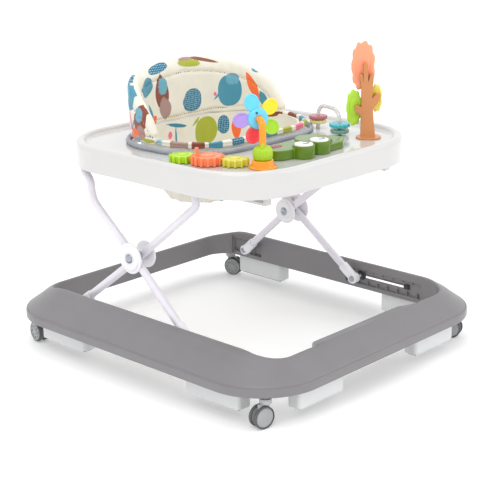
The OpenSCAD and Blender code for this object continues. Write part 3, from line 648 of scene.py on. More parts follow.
rivets = []
for side in (-1, 1):
    rivets.append(turned([(0, 196.4), (4, 196.6), (7, 197.6), (8.6, 199), (9, 199.9), (5, 199.9),
                          (5, 224.6), (12, 224.6),
                          (12, 226.8), (5, 226.8), (5, 250.3), (9, 250.3), (8.7, 251.2), (7, 252.6),
                          (4, 253.5),
                          (0, 253.7)], (0, hub_y, hub_z), (side, 0, 0), (0, 1, 0), 48))
finished(joined("hub_rivet_pair", rivets), "rear_leg", plated_steel, "hub_rivets", slot="rivet_steel")
heads = []
for side in (-1, 1):
    for y, grip in ((230, "rear_leg"), (-88, "front_leg")):
        heads.append((grip, turned([(6.6, -8.3), (6.6, -9.4), (5.4, -10.4), (3, -11), (0, -11.1)],
                                   (side * foot_x, y, foot_z), (side, 0, 0), (0, 1, 0), 36)))
for grip in ("rear_leg", "front_leg"):
    finished(joined(grip + "_foot_rivets", [m for g, m in heads if g == grip]), grip, plated_steel,
             slot="rivet_steel")

machined("slot_shoe_pair", "slot_shoes", nylon, "slot_shoes", edge=0.8, slot="black_nylon")
machined("rail_slide_pair", "tray_slides", nylon, "tray_slides", edge=1.0, slot="black_nylon")

# ---------- tray ----------
# The play tray is one glossy white ABS moulding: a deck round the seat opening, a raised rounded
# rim and a skirt below it. Bearing blocks and slotted rails for the crossbars hang under the deck.

tray = (268, -263, 283, 141)
seat = (188, -70, 190, 110)
deck_z = 421


def ring(shape, inset, z, count=360, centre=(0, 60)):
    """Points on a rounded rectangle's outline shrunk by an inset, one for each direction from a centre."""
    hx, y0, y1, r = shape[0] - inset, shape[1] + inset, shape[2] - inset, max(shape[3] - inset, 2)
    points = []
    for a in round_angles(count):
        c, s = math.cos(a), math.sin(a)
        low, high = 0.0, 600.0
        for _ in range(30):
            middle = (low + high) / 2
            if inside((centre[0] + c * middle, centre[1] + s * middle), hx, y0, y1, r) < 0:
                low = middle
            else:
                high = middle
        points.append((centre[0] + c * low, centre[1] + s * low, z))
    return points


rim = [(0, 379.6), (0, 400), (0, 418), (0.5, 422.4), (1.8, 425.6), (4, 427.9), (7, 429), (10, 429.3),
       (13, 429.1),
       (15.6, 428.3), (17.4, 426.8), (18.6, 424.6), (19.6, 422.6), (21, 421.4), (23, 421), (27, 421)]
loops = [ring(tray, d, z) for d, z in rim]
loops += [ring(seat, -8, 421), ring(seat, -2, 421), ring(seat, -0.6, 420.6), ring(seat, 0, 419.8),
          ring(seat, 0, 418.4),
          ring(seat, -0.5, 418), ring(tray, 27, 418), ring(tray, 17, 418), ring(tray, 14, 424),
          ring(tray, 8, 425.4),
          ring(tray, 4.2, 422.5), ring(tray, 3, 418), ring(tray, 3, 380), ring(tray, 2.2, 379),
          ring(tray, 0.8, 379)]
# Glossy ABS: a clear reflection of the toys with a very faint mould ripple, and almost no tint of its own.
gloss_abs = moulded("moulded_abs_white", "#CFCECD", 0.12, 3.5, 0.015, coat=0.5, shift="#C6C6C8",
                    shift_share=0.2)
board = keep(outward(loft(loops, closed_section=True)), "tray_moulding")
finished(board, "tray", gloss_abs, "tray_shell", slot="tray_gloss", angle=30)
machined("crossbar_bearings", "tray", gloss_abs, "tray_pivot_brackets", edge=1.0, slot="white_fitting")
machined("crossbar_rails", "tray", gloss_abs, "tray_rails", edge=1.0, slot="white_fitting")

# ---------- seat piping ----------
# A grey twill-covered cord sewn round the mouth of the seat; it hides the hooks that hold the seat
# in the tray, and it wavers a little where the cloth is gathered round the bends.


def cloth_bump(tree, place, thread_mm, strength):
    """Height of a plain weave whose threads are the given distance apart, as a bump's normal."""
    waves = [add(tree, "ShaderNodeTexWave",
                 {"Vector": place, "Scale": 0.314 / (thread_mm * mm), "Distortion": 0.6,
                                             "Detail": 1.0, "Detail Scale": 2.0},
                                             bands_direction=d) for d in "XZ"]
    weave = add(tree, "ShaderNodeMath", {0: waves[0].outputs["Fac"], 1: waves[1].outputs["Fac"]},
                operation="ADD")
    return weave, add(tree, "ShaderNodeBump", {"Height": weave.outputs["Value"], "Strength": strength,
                                               "Distance": 0.4 * mm})


# Cotton-polyester twill: matt, with a faint sheen at its edge and threads half a millimetre apart,
# drawn at 1.2 mm so that they show at this distance.
twill = bpy.data.materials.new("woven_twill_grey")
twill.use_nodes = True
tree = twill.node_tree
shader = tree.nodes["Principled BSDF"]
place = add(tree, "ShaderNodeTexCoord").outputs["Object"]
weave, bump = cloth_bump(tree, place, 1.2, 0.5)
cloud = add(tree, "ShaderNodeTexNoise", {"Vector": place, "Scale": 60.0, "Detail": 3.0})
tint = add(tree, "ShaderNodeMix",
           {"Factor": cloud.outputs["Fac"], 6: linear("#8B919A"), 7: linear("#A9AFB7")},
           data_type="RGBA")
tree.links.new(tint.outputs[2], shader.inputs["Base Color"])
tree.links.new(bump.outputs["Normal"], shader.inputs["Normal"])
shader.inputs["Roughness"].default_value = 0.85
shader.inputs["Sheen Weight"].default_value = 0.3

line = [Vector(p) for p in ring((193, -75, 195, 115), 0, 426, 420)]
waves = ((9, 0.35, 1), (23, 0.3, 2), (57, 0.25, 4), (91, 0.2, 5))
wobble = [sum(a * math.sin(k * t + b) for k, a, b in waves)
          for t in round_angles(420)]
line = [p + Vector((0, 0, 0.5 * wobble[i])) for i, p in enumerate(line)]
cord = keep(swept(line, 4.6, 16, closed=True,
                  ruffle=lambda i, a: 0.45 * wobble[i] + 0.25 * math.sin(3 * a + i * 0.21)), "seat_cord")
finished(cord, "tray", twill, "seat_piping", slot="piping_cloth", angle=180)

# ---------- seat back, front roll and sling ----------
# One padded cotton seat: a high arched back, a low rolled edge in front and a sling with two leg
# openings. Its cloth is cream with bold printed shapes, quilted along two rows of coloured stitches.

INK = {"navy": "#186888", "deep_teal": "#2F7F98", "teal": "#4890A8", "light_teal": "#6AA8BC",
       "brown": "#884838", "mist": "#8FBCC8", "mauve": "#A88880", "lime": "#A8B030",
       "pink": "#F07090", "orange": "#F87038"}
# Each printed shape: its place round the seat, its height on it, its own width and height, tilt, ink, kind.
PRINT = (
    (132, 484, 62, 66, 0, "teal", "round"), (140, 508, 34, 24, 0, "light_teal", "round"),
    (98, 474, 20, 5, 35, "teal", "round"), (92, 480, 9, 9, 0, "pink", "leaf"),
    (26, 476, 50, 48, 0, "navy", "dots"), (6, 470, 16, 26, 20, "navy", "dots"),
    (4, 462, 14, 4, -50, "navy", "round"), (20, 553, 62, 14, -6, "lime", "round"),
    (60, 556, 96, 7, -14, "brown", "round"), (14, 562, 40, 7, 0, "mauve", "round"),
    (190, 492, 20, 60, 28, "orange", "leaf"), (218, 466, 22, 34, 30, "teal", "leaf"),
    (80, 404, 62, 60, 0, "lime", "round"), (52, 428, 26, 6, 40, "lime", "leaf"),
    (-2, 428, 60, 8, -12, "deep_teal", "leaf"), (-6, 404, 6, 40, 4, "teal", "leaf"),
    (-22, 410, 12, 16, 0, "pink", "leaf"), (128, 412, 30, 40, 0, "navy", "dots"),
    (250, 436, 40, 12, 8, "brown", "round"), (160, 404, 24, 50, 0, "orange", "leaf"),
    (-60, 500, 36, 74, 6, "brown", "leaf"), (-58, 516, 24, 34, 0, "light_teal", "round"),
    (-52, 470, 32, 44, 14, "mauve", "leaf"), (-96, 470, 8, 34, 30, "teal", "leaf"),
    (-110, 520, 50, 34, 22, "teal", "round"), (-66, 552, 52, 16, 14, "navy", "dots"),
    (-128, 440, 18, 60, 0, "pink", "leaf"), (-112, 452, 16, 34, 0, "lime", "leaf"),
    (-90, 440, 34, 40, -30, "orange", "leaf"), (205, 530, 40, 20, 0, "teal", "round"),
    (-160, 500, 44, 30, 10, "navy", "dots"),
)
OUTSIDE = (
    (-176, 512, 56, 44, 20, "teal", "round"), (-168, 522, 30, 18, 20, "light_teal", "round"),
    (-150, 540, 40, 12, 22, "navy", "dots"), (-222, 474, 38, 62, 12, "brown", "leaf"),
    (-220, 486, 22, 28, 8, "light_teal", "round"), (-226, 452, 26, 28, 10, "mauve", "round"),
    (-196, 462, 6, 30, 30, "teal", "leaf"), (-186, 450, 12, 66, -6, "pink", "leaf"),
    (-192, 442, 10, 22, 0, "lime", "leaf"), (-206, 444, 30, 30, -35, "orange", "leaf"),
    (-214, 436, 18, 16, -30, "light_teal", "leaf"), (-246, 440, 30, 8, 0, "lime", "leaf"),
    (-80, 500, 60, 50, 0, "orange", "round"), (0, 480, 60, 60, 0, "teal", "round"),
    (0, 540, 40, 16, 0, "lime", "round"), (70, 520, 44, 40, 0, "navy", "dots"),
    (130, 470, 40, 60, 0, "brown", "leaf"), (190, 500, 40, 40, 0, "lime", "round"),
    (-40, 446, 40, 20, 0, "pink", "leaf"), (60, 446, 50, 22, 0, "light_teal", "round"),
    (220, 446, 30, 26, 0, "orange", "leaf"), (-130, 470, 30, 50, 0, "navy", "dots"),
)


def along_back(x, y, hx, y1, r):
    """Distance round the back of a rounded rectangle from its rear middle to a point beside it."""
    a, flat = abs(x), hx - r
    if a <= flat and y > 0:
        u = a
    elif y >= y1 - r:
        u = flat + r * math.atan2(a - flat, y - (y1 - r))
    else:
        u = flat + r * math.pi / 2 + (y1 - r - y)
    return math.copysign(u, x)


def printed(mesh, shapes_of):
    """Stores the nearest printed shape's colour, and the distance inside its edge in mm, on every point."""
    count = len(mesh.vertices)
    colour = np.zeros((count, 4), np.float32)
    edge = np.full(count, -50.0, np.float32)
    dots = np.zeros(count, np.float32)
    place = np.zeros((count, 3), np.float32)
    for v in mesh.vertices:
        x, y, z = (c / mm for c in v.co)
        u, shapes = shapes_of(x, y, z)
        place[v.index] = (u, z, 0)
        for cu, cz, w, h, tilt, tone, kind in shapes:
            a = math.radians(tilt)
            du, dz = u - cu, z - cz
            p = (du * math.cos(a) + dz * math.sin(a)) / (w / 2)
            q = (-du * math.sin(a) + dz * math.cos(a)) / (h / 2)
            if kind == "leaf":
                reach = 1 - abs(p) - 0.75 * q * q if w < h else 1 - abs(q) - 0.75 * p * p
            else:
                reach = 1 - (abs(p) ** 2.3 + abs(q) ** 2.3) ** (1 / 2.3)
            reach *= min(w, h) / 2
            if reach > -1.5 and (edge[v.index] < 0 or reach > -0.4) or reach > edge[v.index]:
                if reach > 0 or reach > edge[v.index]:
                    edge[v.index] = reach
                    colour[v.index] = linear(INK[tone])
                    dots[v.index] = 1.0 if kind == "dots" else 0.0
    tone = mesh.attributes.new("print_colour", "FLOAT_COLOR", "POINT")
    tone.data.foreach_set("color", colour.ravel())
    for name, values in (("print_edge", edge), ("print_dots", dots)):
        mesh.attributes.new(name, "FLOAT", "POINT").data.foreach_set("value", values)
    mesh.attributes.new("cloth_place", "FLOAT_VECTOR", "POINT").data.foreach_set("vector", place.ravel())


# Printed cotton: matt cream cloth whose pigment print sits slightly flatter than the bare weave;
# threads 0.4 mm apart are drawn at 1 mm. Stitches are 3 mm long in six colours along two rows.
print_cotton = bpy.data.materials.new("printed_cotton")
print_cotton.use_nodes = True
tree = print_cotton.node_tree
shader = tree.nodes["Principled BSDF"]
place = add(tree, "ShaderNodeTexCoord").outputs["Object"]
at = add(tree, "ShaderNodeAttribute", attribute_name="cloth_place")
cloud = add(tree, "ShaderNodeTexNoise", {"Vector": place, "Scale": 30.0, "Detail": 4.0})
ground = add(tree, "ShaderNodeMix",
             {"Factor": cloud.outputs["Fac"], 6: linear("#DDD8C8"), 7: linear("#F0EDE0")},
             data_type="RGBA")
edge = add(tree, "ShaderNodeAttribute", attribute_name="print_edge")
tone = add(tree, "ShaderNodeAttribute", attribute_name="print_colour")
dotty = add(tree, "ShaderNodeAttribute", attribute_name="print_dots")
cells = add(tree, "ShaderNodeTexVoronoi",
            {"Vector": at.outputs["Vector"], "Scale": 0.24, "Randomness": 0.2})
spots = add(tree, "ShaderNodeMath", {0: cells.outputs["Distance"], 1: 0.30}, operation="LESS_THAN")
spotted = add(tree, "ShaderNodeMath", {0: spots.outputs["Value"], 1: dotty.outputs["Fac"]},
              operation="MULTIPLY")
pigment = add(tree, "ShaderNodeMix", {"Factor": spotted.outputs["Value"], 6: tone.outputs["Color"],
                                      7: linear("#9CC8D4")}, data_type="RGBA")
covered = add(tree, "ShaderNodeMapRange", {"Value": edge.outputs["Fac"], "From Min": -0.4, "From Max": 0.4})
cloth = add(tree, "ShaderNodeMix",
            {"Factor": covered.outputs["Result"], 6: ground.outputs[2], 7: pigment.outputs[2]},
            data_type="RGBA")
stitch = add(tree, "ShaderNodeAttribute", attribute_name="stitch_line")
parts = add(tree, "ShaderNodeSeparateXYZ", {"Vector": at.outputs["Vector"]})
pace = add(tree, "ShaderNodeMath", {0: parts.outputs["X"], 1: 6.0}, operation="DIVIDE")
gap = add(tree, "ShaderNodeMath", {0: pace.outputs["Value"]}, operation="FRACT")
on = add(tree, "ShaderNodeMath", {0: gap.outputs["Value"], 1: 0.5}, operation="LESS_THAN")
near = add(tree, "ShaderNodeMath", {0: stitch.outputs["Fac"], 1: 1.15}, operation="LESS_THAN")
dash = add(tree, "ShaderNodeMath", {0: on.outputs["Value"], 1: near.outputs["Value"]}, operation="MULTIPLY")
number = add(tree, "ShaderNodeMath", {0: pace.outputs["Value"]}, operation="FLOOR")
pick = add(tree, "ShaderNodeTexWhiteNoise", {"W": number.outputs["Value"]}, noise_dimensions="1D")
threads = add(tree, "ShaderNodeValToRGB", {"Fac": pick.outputs["Value"]})
threads.color_ramp.interpolation = "CONSTANT"
for k, tone_hex in enumerate(("#884838", "#F07850", "#7FA8A8", "#B8B848", "#30302E", "#E89080")):
    stop = threads.color_ramp.elements[k] if k < 2 else threads.color_ramp.elements.new(k / 6)
    stop.position, stop.color = k / 6, linear(tone_hex)
sewn = add(tree, "ShaderNodeMix",
           {"Factor": dash.outputs["Value"], 6: cloth.outputs[2], 7: threads.outputs["Color"]},
           data_type="RGBA")
tree.links.new(sewn.outputs[2], shader.inputs["Base Color"])
weave, bump = cloth_bump(tree, place, 1.0, 0.35)
tree.links.new(bump.outputs["Normal"], shader.inputs["Normal"])
shader.inputs["Roughness"].default_value = 0.9
shader.inputs["Sheen Weight"].default_value = 0.25


def stuffed(name, mesh, voxel, pressure, cap, keep_in):
    """A padded piece from a plain closed shape: remeshed, then swollen as cloth up to a cap."""
    piece = keep(mesh, name)
    remesh = piece.modifiers.new("remesh", "REMESH")
    remesh.mode = "VOXEL"
    remesh.voxel_size = voxel * mm
    baked(piece)
    start = np.array([v.co for v in piece.data.vertices])
    pad = piece.modifiers.new("padding", "CLOTH")
    pad.settings.use_pressure = True
    pad.settings.uniform_pressure_force = pressure
    pad.settings.effector_weights.gravity = 0
    pad.settings.quality = 5
    pad.point_cache.frame_end = 20
    for number in range(1, 21):
        bpy.context.scene.frame_set(number)
    baked(piece)
    bpy.context.scene.frame_set(1)
    moved = np.array([v.co for v in piece.data.vertices]) - start
    far = np.linalg.norm(moved, axis=1, keepdims=True)
    end = start + moved * np.minimum(1, cap * mm / np.maximum(far, 1e-9))
    for v, p in zip(piece.data.vertices, end):
        v.co = keep_in(p / mm) * mm
    piece.modifiers.new("smooth", "SMOOTH").iterations = 6
    finer = piece.modifiers.new("subsurf", "SUBSURF")
    finer.levels = finer.render_levels = 1
    return baked(piece)


def seams(piece, lines, height_of):
    """Pulls the cloth in along sewn lines, adds gathers, and stores the distance to a line."""
    mesh = piece.data
    normals = [v.normal.copy() for v in mesh.vertices]
    nearest = np.full(len(mesh.vertices), 50.0, np.float32)
    for v, n in zip(mesh.vertices, normals):
        x, y, z = (c / mm for c in v.co)
        u = along_back(x, y, 178, 180, 100)
        gaps = [abs(z - f(u)) for f in lines]
        nearest[v.index] = min(gaps)
        depth = 2.6 * math.exp(-(min(gaps) / 3.2) ** 2)
        depth += height_of(u, z)
        v.co -= n * depth * mm
    mesh.attributes.new("stitch_line", "FLOAT", "POINT").data.foreach_set("value", nearest)
    mesh.update()


def unstitched(mesh):
    """Stores that no point of a mesh is near a row of stitches."""
    distance = mesh.attributes.new("stitch_line", "FLOAT", "POINT")
    distance.data.foreach_set("value", [50.0] * len(mesh.vertices))


def arch_top(u):
    """Height of the back's top edge round the seat."""
    return float(np.interp(abs(u), [0, 64, 110, 128, 181, 227, 243, 255, 270],
                           [568, 562, 554, 550, 534, 508, 491, 475, 450]))


def wall(hx, y1, r, ends, height_of, low, thick, flip=1, step=5.0):
    """A closed wall of varying height that follows the back or, flipped, the front of the seat."""
    loops = []
    for u in np.linspace(-ends, ends, round(2 * ends / step) + 1):
        a, flat = abs(u), hx - r
        if a <= flat:
            p, n = (a, y1), (0, 1)
        elif a <= flat + r * math.pi / 2:
            t = (a - flat) / r
            p, n = (flat + r * math.sin(t), y1 - r + r * math.cos(t)), (math.sin(t), math.cos(t))
        else:
            p, n = (hx, y1 - r - (a - flat - r * math.pi / 2)), (1, 0)
        side, top = math.copysign(1, u), height_of(u)
        section = []
        for d, z in [(-thick / 2, low + 2), (-thick / 2 + 2, low), (0, low), (thick / 2 - 2, low),
                     (thick / 2, low + 2)] + [
                (thick / 2, low + 2 + (top - low - 7) * f) for f in np.linspace(0, 1, 12)[1:]] + [
                (thick / 2 - 2, top - 1.5), (0, top), (-thick / 2 + 2, top - 1.5)] + [
                (-thick / 2, low + 2 + (top - low - 7) * f) for f in np.linspace(1, 0, 12)[:-1]]:
            section.append(((p[0] + n[0] * d) * side, (p[1] + n[1] * d) * flip, z))
        loops.append(section)
    return outward(loft(capped(loops)))


def hold_back(p):
    """Keeps the swelling cloth above the cord and inside its allowance."""
    return np.array((p[0], p[1], max(p[2], 431.6)))


padding = stuffed("seat_back_pad", wall(178.5, 180.5, 100.5, 268, arch_top, 432, 18), 5, 4, 6, hold_back)
stretch = (567.5 - 431.6) / (max(v.co.z for v in padding.data.vertices) / mm - 431.6)
for v in padding.data.vertices:
    v.co.z = (431.6 + (v.co.z / mm - 431.6) * stretch) * mm
seams(padding, (lambda u: arch_top(u) - 30, lambda u: 448),
      lambda u, z: 0.9 * math.sin(u / 11) * max(0, 1 - abs(z - 452) / 26) + 0.5 * math.sin(u / 19 + z / 40))
printed(padding.data, lambda x, y, z: (along_back(x, y, 178, 180, 100),
                                       OUTSIDE if inside((x, y), 178, -60, 180, 100) > 0 else PRINT))
finished(padding, "tray", print_cotton, "seat_back", slot="printed_cotton", angle=180)

PATCHES = tuple((u, 438, w, 40, 0, tone, kind) for u, w, tone, kind in (
    (-430, 30, "lime", "round"), (-396, 26, "brown", "round"), (-352, 34, "light_teal", "round"),
    (-306, 24, "pink", "leaf"), (-276, 20, "lime", "leaf"), (-246, 24, "mist", "round"),
    (-196, 36, "mauve", "round"), (-160, 24, "brown", "round"), (-128, 26, "teal", "round"),
    (-80, 30, "navy", "dots"), (-30, 26, "orange", "leaf"), (10, 40, "teal", "round"),
    (60, 26, "lime", "leaf"), (100, 30, "pink", "round"), (132, 22, "lime", "leaf"),
    (168, 30, "teal", "round"), (214, 30, "brown", "leaf")))


def along_front(x, y):
    """Distance round the front of the seat, from the left end to the right end."""
    return along_back(x, -y, 178, 60, 100)


roll = stuffed("front_roll_pad", wall(179, 61, 101, 251, lambda u: 445, 432, 15, flip=-1), 4, 3, 4,
               hold_back)
seams(roll, (lambda u: 438,), lambda u, z: 0.8 * math.sin(u / 6.5) + 0.4 * math.sin(u / 2.9))
roll.data.attributes.remove(roll.data.attributes["stitch_line"])
unstitched(roll.data)
printed(roll.data, lambda x, y, z: (along_front(x, y), PATCHES))
finished(roll, "tray", print_cotton, "seat_collar", slot="printed_cotton", angle=180)

# The sling hangs inside the opening: one quilted cloth bag, cut away round the two leg openings,
# whose edges are drawn round to circles; the cord that binds them on the real seat is left out.
levels = ((1, 438), (1.2, 431), (1.5, 424), (4, 408), (10, 390), (20, 368), (32, 348), (44, 330), (58, 316),
          (74, 307), (92, 304), (118, 303.5))
loops = []
for inset, z in levels:
    share = min(max((431 - z) / 64, 0), 1)
    low = min(max((368 - z) / 63, 0), 1)
    hx = 172 - 10 * share - 51 * low
    y0, y1 = -55 + 2 * share + 58 * low, 174 + 3 * share - 40 * low
    if inset > 92:
        hx, y0, y1 = 4, 64, 78
    elif inset > 74:
        hx, y0, y1 = 60, 30, 112
    loops.append(ring((hx, y0, y1, min(hx, (y1 - y0) / 2, 110) * 0.98), 0, z, 240, (0, 71)))
fine = []
for a, b in zip(loops, loops[1:]):
    parts = max(2, round(math.dist(a[0], b[0]) / 4))
    fine += [[tuple(p[k] + (q[k] - p[k]) * i / parts for k in range(3)) for p, q in zip(a, b)]
             for i in range(parts)]
fine.append(loops[-1])
shape = bmesh.new()
shape.from_mesh(loft(fine))
axis = Vector((0, -math.sin(math.radians(110)), math.cos(math.radians(110))))
for side in (-1, 1):
    foot = Vector((side * 72, -8, 347))
    far = [v for v in shape.verts if (v.co / mm - foot).dot(axis) > -20
           and ((v.co / mm - foot) - axis * (v.co / mm - foot).dot(axis)).length < 45]
    bmesh.ops.delete(shape, geom=far, context="VERTS")
bmesh.ops.contextual_create(shape, geom=[v for v in shape.verts if v.co.z < 303.6 * mm and v.is_boundary])
bmesh.ops.recalc_face_normals(shape, faces=shape.faces)
rims = [e for e in shape.edges if e.is_boundary and e.verts[0].co.z < 420 * mm]
starts = {v: v.co.copy() for e in rims for v in e.verts}
for v, p in starts.items():
    foot = Vector((math.copysign(72, p.x), -8, 347)) * mm
    radial = (p - foot) - axis * (p - foot).dot(axis)
    v.co = foot + axis * (p - foot).dot(axis) + radial.normalized() * 46 * mm
mesh = bpy.data.meshes.new("sling")
shape.to_mesh(mesh)
shape.free()
sling = keep(mesh, "seat_sling")
for v in sling.data.vertices:
    u = math.atan2(v.co.y - 71 * mm, v.co.x)
    v.co += v.normal * 0.9 * mm * math.sin(u * 24) * min(1, max(0, (0.43 - v.co.z) / 0.02))
thick = sling.modifiers.new("cloth", "SOLIDIFY")
thick.thickness = 4 * mm
thick.offset = 0
baked(sling)
printed(sling.data, lambda x, y, z: (along_back(x, y, 178, 180, 100) + 12,
                                     PRINT if y > 40 else tuple((s[0] * 0.8 - 40,
                                                                 s[1] - 90) + s[2:] for s in PRINT)))
unstitched(sling.data)
finished(sling, "tray", print_cotton, "seat_pouch", slot="printed_cotton", angle=60)

# ---------- crocodile ----------
# A glossy green crocodile lies along the front of the deck. Each raised eye is a white push button
# that slides in a green barrel.

# Glossy toy ABS: one clear colour right through, sharp highlights, slightly deeper in the hollows.
croc_green = moulded("moulded_abs_green", "#5F8210", 0.2, 2.5, 0.02, coat=0.2, shift="#4F7616",
                     shift_share=0.35)
eye_white = moulded("moulded_abs_eye_white", "#F4F5F0", 0.2, 2.0, 0.02, coat=0.4, shift="#DDE0D8",
                    shift_share=0.2)
eye_grey = moulded("printed_eye_grey", "#8C908C", 0.3, 1.0, 0.03, shift="#6E726F", shift_share=0.2)
croc_red = moulded("printed_mouth_red", "#9A3038", 0.3, 1.0, 0.03, shift="#7A2028", shift_share=0.2)
shaped("crocodile", "tray", croc_green, "croc_body", voxel=1.1, passes=12, slot="croc_green")
mouth = keep(turned([(0, 0.4), (14, 0.3), (15, -0.6), (0, -0.6)], (0, 0, 0), (0, 0, 1), (1, 0, 0), 48),
             "crocodile_mouth")
for v in mouth.data.vertices:
    v.co = Vector((v.co.x * 1.1, v.co.y * 0.55, v.co.z)) + Vector((-72, -153, 440.4)) * mm
finished(mouth, "tray", croc_red, slot="croc_green")
for word, (x, y) in (("left", (-43, -197)), ("right", (5, -194))):
    button = turned([(0, 8), (5.6, 8), (5.6, 23), (17.4, 23.1), (18, 23.7), (18, 25.2), (17.2, 26.6),
                     (15, 27.4),
                     (9, 27.9), (0, 28)], (x, y, deck_z), (0, 0, 1), (1, 0, 0), 72)
    finished(joined("eye_button_" + word, [button]), "croc_eye_" + word, eye_white, "croc_eye_" + word,
             slot="eye_white")
    arc = swept([Vector((x + 9.5 * math.cos(a), y + 9.5 * math.sin(a), deck_z + 27.9))
                 for a in np.linspace(math.radians(-150), math.radians(60), 28)], 1.2, 10)
    finished(joined("eye_arc_" + word, [arc]), "croc_eye_" + word, eye_grey, slot="eye_white")

# ---------- tree ----------
# A flat brown tree stands at the right front corner: a trunk with cut-off branches on a round foot,
# and three lobed leaves in coral, lime and yellow clipped on behind it.

trunk_brown = moulded("moulded_abs_brown", "#D08A52", 0.3, 2.0, 0.04, coat=0.15, shift="#B87446",
                      shift_share=0.3)
machined("tree_trunk_moulding", "tray", trunk_brown, "tree_trunk", edge=2.2, steps=4, slot="trunk_brown")
tree_foot, tree_turn = Vector((168, -183, deck_z)), math.radians(-46)
wide, deep = Vector((math.cos(tree_turn), math.sin(tree_turn), 0)), Vector((-math.sin(tree_turn),
                                                                            math.cos(tree_turn), 0))


def leaf(name, node, colour, shade, half, low, high, middle, lobes, slot, depth=8.4):
    """A lobed leaf plate with a grooved face, built of rings of its outline."""
    count = 144
    centre = (low + high) / 2
    loops = []
    for share, thick in ((0.04, 0.3), (0.3, 0.3), (0.5, 0.2), (0.55, 0.9), (0.62, 0.3), (0.8, 0.1),
                         (0.92, 0.4), (0.985, 1.4),
                         (1.0, 2.6), (1.0, 4.2), (0.985, 5.4), (0.92, 6.2), (0.8, 6.6), (0.4, 6.6),
                         (0.04, 6.6)):
        loop = []
        for a in round_angles(count):
            lobe = 1 - (0.085 if share > 0.9 else 0.05) * abs(math.cos(lobes * a / 2)) ** 3
            c, s = math.cos(a), math.sin(a)
            p = (abs(c) ** 0.85 * math.copysign(half, c),
                 abs(s) ** 0.85 * math.copysign((high - low) / 2, s))
            loop.append(tree_foot + wide * (middle + p[0] * lobe * share)
                        + Vector((0, 0, centre + p[1] * lobe * share)) + deep * (depth + thick))
        loops.append(loop)
    plate = keep(outward(loft(capped(loops))), name)
    paint = moulded("moulded_abs_" + name, colour, 0.3, 2.0, 0.04, coat=0.15, shift=shade, shift_share=0.35)
    finished(plate, "tray", paint, node, slot=slot, angle=50)


leaf("leaf_coral", "tree_leaf_coral", "#FFA880", "#F79068", 23.5, 91, 190, -10.5, 11, "leaf_coral")
leaf("leaf_lime", "tree_leaf_lime", "#BCEC38", "#A2D826", 15.2, 22, 95, -28, 9, "toy_lime")
leaf("leaf_yellow", "tree_leaf_yellow", "#ECE25C", "#DCCC44", 11.6, 49, 105, 16, 9, "toy_yellow")

# ---------- bead arch ----------
# A clear bent tube stands on the deck beside the seat with two scalloped discs turning on each leg.

# Clear styrene: colourless, very smooth, with the milky edge of a thick moulding.
arch_clear = moulded("moulded_styrene_clear", "#EDEDEC", 0.1, 3.0, 0.01, coat=0.6, shift="#D8DCE0",
                     shift_share=0.3)
arch_clear.node_tree.nodes["Principled BSDF"].inputs["Transmission Weight"].default_value = 0.55
feet = [Vector((174, -48, deck_z)), Vector((153, -122, deck_z))]
lift = Vector((0, 0, 50))
arch = keep(swept(bent([feet[0], feet[0] + lift, feet[1] + lift, feet[1]], [24, 24], 2.0), 4, 24),
            "bead_arch_tube")
finished(arch, "tray", arch_clear, "bead_arch", slot="arch_clear")
for word, foot, z, r, colour, shade in (("rose", 0, 20, 19, "#B87078", "#9E565E"),
                                        ("cream", 0, 11, 17, "#E8DC90", "#D6C670"),
                                        ("turquoise", 1, 16, 21, "#40B8C8", "#2C9CB0"),
                                        ("sage", 1, 4, 19, "#70A890", "#568E76")):
    loops, count = [], 192
    for radius, along in ((4.2, 0.6), (6, 0.2), (r * 0.55, 0.2), (r * 0.62, 0.8), (r * 0.7, 0.3),
                          (r - 2, 0.1), (r - 0.7, 0.8),
                          (r, 2.2), (r, 5.6), (r - 0.7, 7.1), (r - 2, 7.8), (r * 0.7, 7.6), (r * 0.62, 6.9),
                          (r * 0.55, 7.7),
                          (6, 7.8), (4.2, 7.3)):
        loops.append([feet[foot] + Vector((0, 0, z + along)) + Vector((math.cos(a), math.sin(a),
                                                                       0)) * radius
                      * (1 - (0.09 if radius > r * 0.8 else 0) * abs(math.sin(6 * a)) ** 4)
                      for a in round_angles(count)])
    disc = keep(outward(loft(loops, closed_section=True)), "bead_disc_" + word)
    paint = moulded("moulded_abs_bead_" + word, colour, 0.22, 2.0, 0.03, coat=0.3, shift=shade,
                    shift_share=0.3)
    finished(disc, "bead_" + word, paint, "bead_" + word, slot="bead_" + word)

# ---------- flower ----------
# A flower on a bent stem turns on its hub: an orange cone foot, a ribbed lime bulb with a leaf, an
# orange stem, and five petals with raised rims round a sky-blue hub.

flower_foot = Vector((-152, -194, deck_z))
facing = math.radians(64)
flower_dir = Vector((math.cos(facing), math.sin(facing), 0))
toy_orange = moulded("moulded_abs_orange", "#FF9C06", 0.22, 2.0, 0.02, coat=0.2, shift="#F48A00",
                     shift_share=0.35)
toy_lime = moulded("moulded_abs_lime", "#A6CE04", 0.22, 2.0, 0.02, coat=0.2, shift="#8EB800",
                   shift_share=0.35)
toy_sky = moulded("moulded_abs_sky", "#6AD2F4", 0.2, 2.0, 0.02, coat=0.35, shift="#46B8E2", shift_share=0.3)
dark_teal = moulded("printed_teal", "#186078", 0.3, 1.0, 0.02, shift="#104858", shift_share=0.3)
foot = turned([(0, 0), (25, 0), (26, 0.8), (26, 2.2), (25, 3.2), (22.6, 4), (20.6, 8), (19.4, 13.6),
               (18.6, 14.8), (17.4, 15),
               (0, 15)], flower_foot, (0, 0, 1), (1, 0, 0), 72)
finished(joined("flower_foot_cone", [foot]), "tray", toy_orange, "flower_base", slot="toy_orange")
count, loops = 180, []
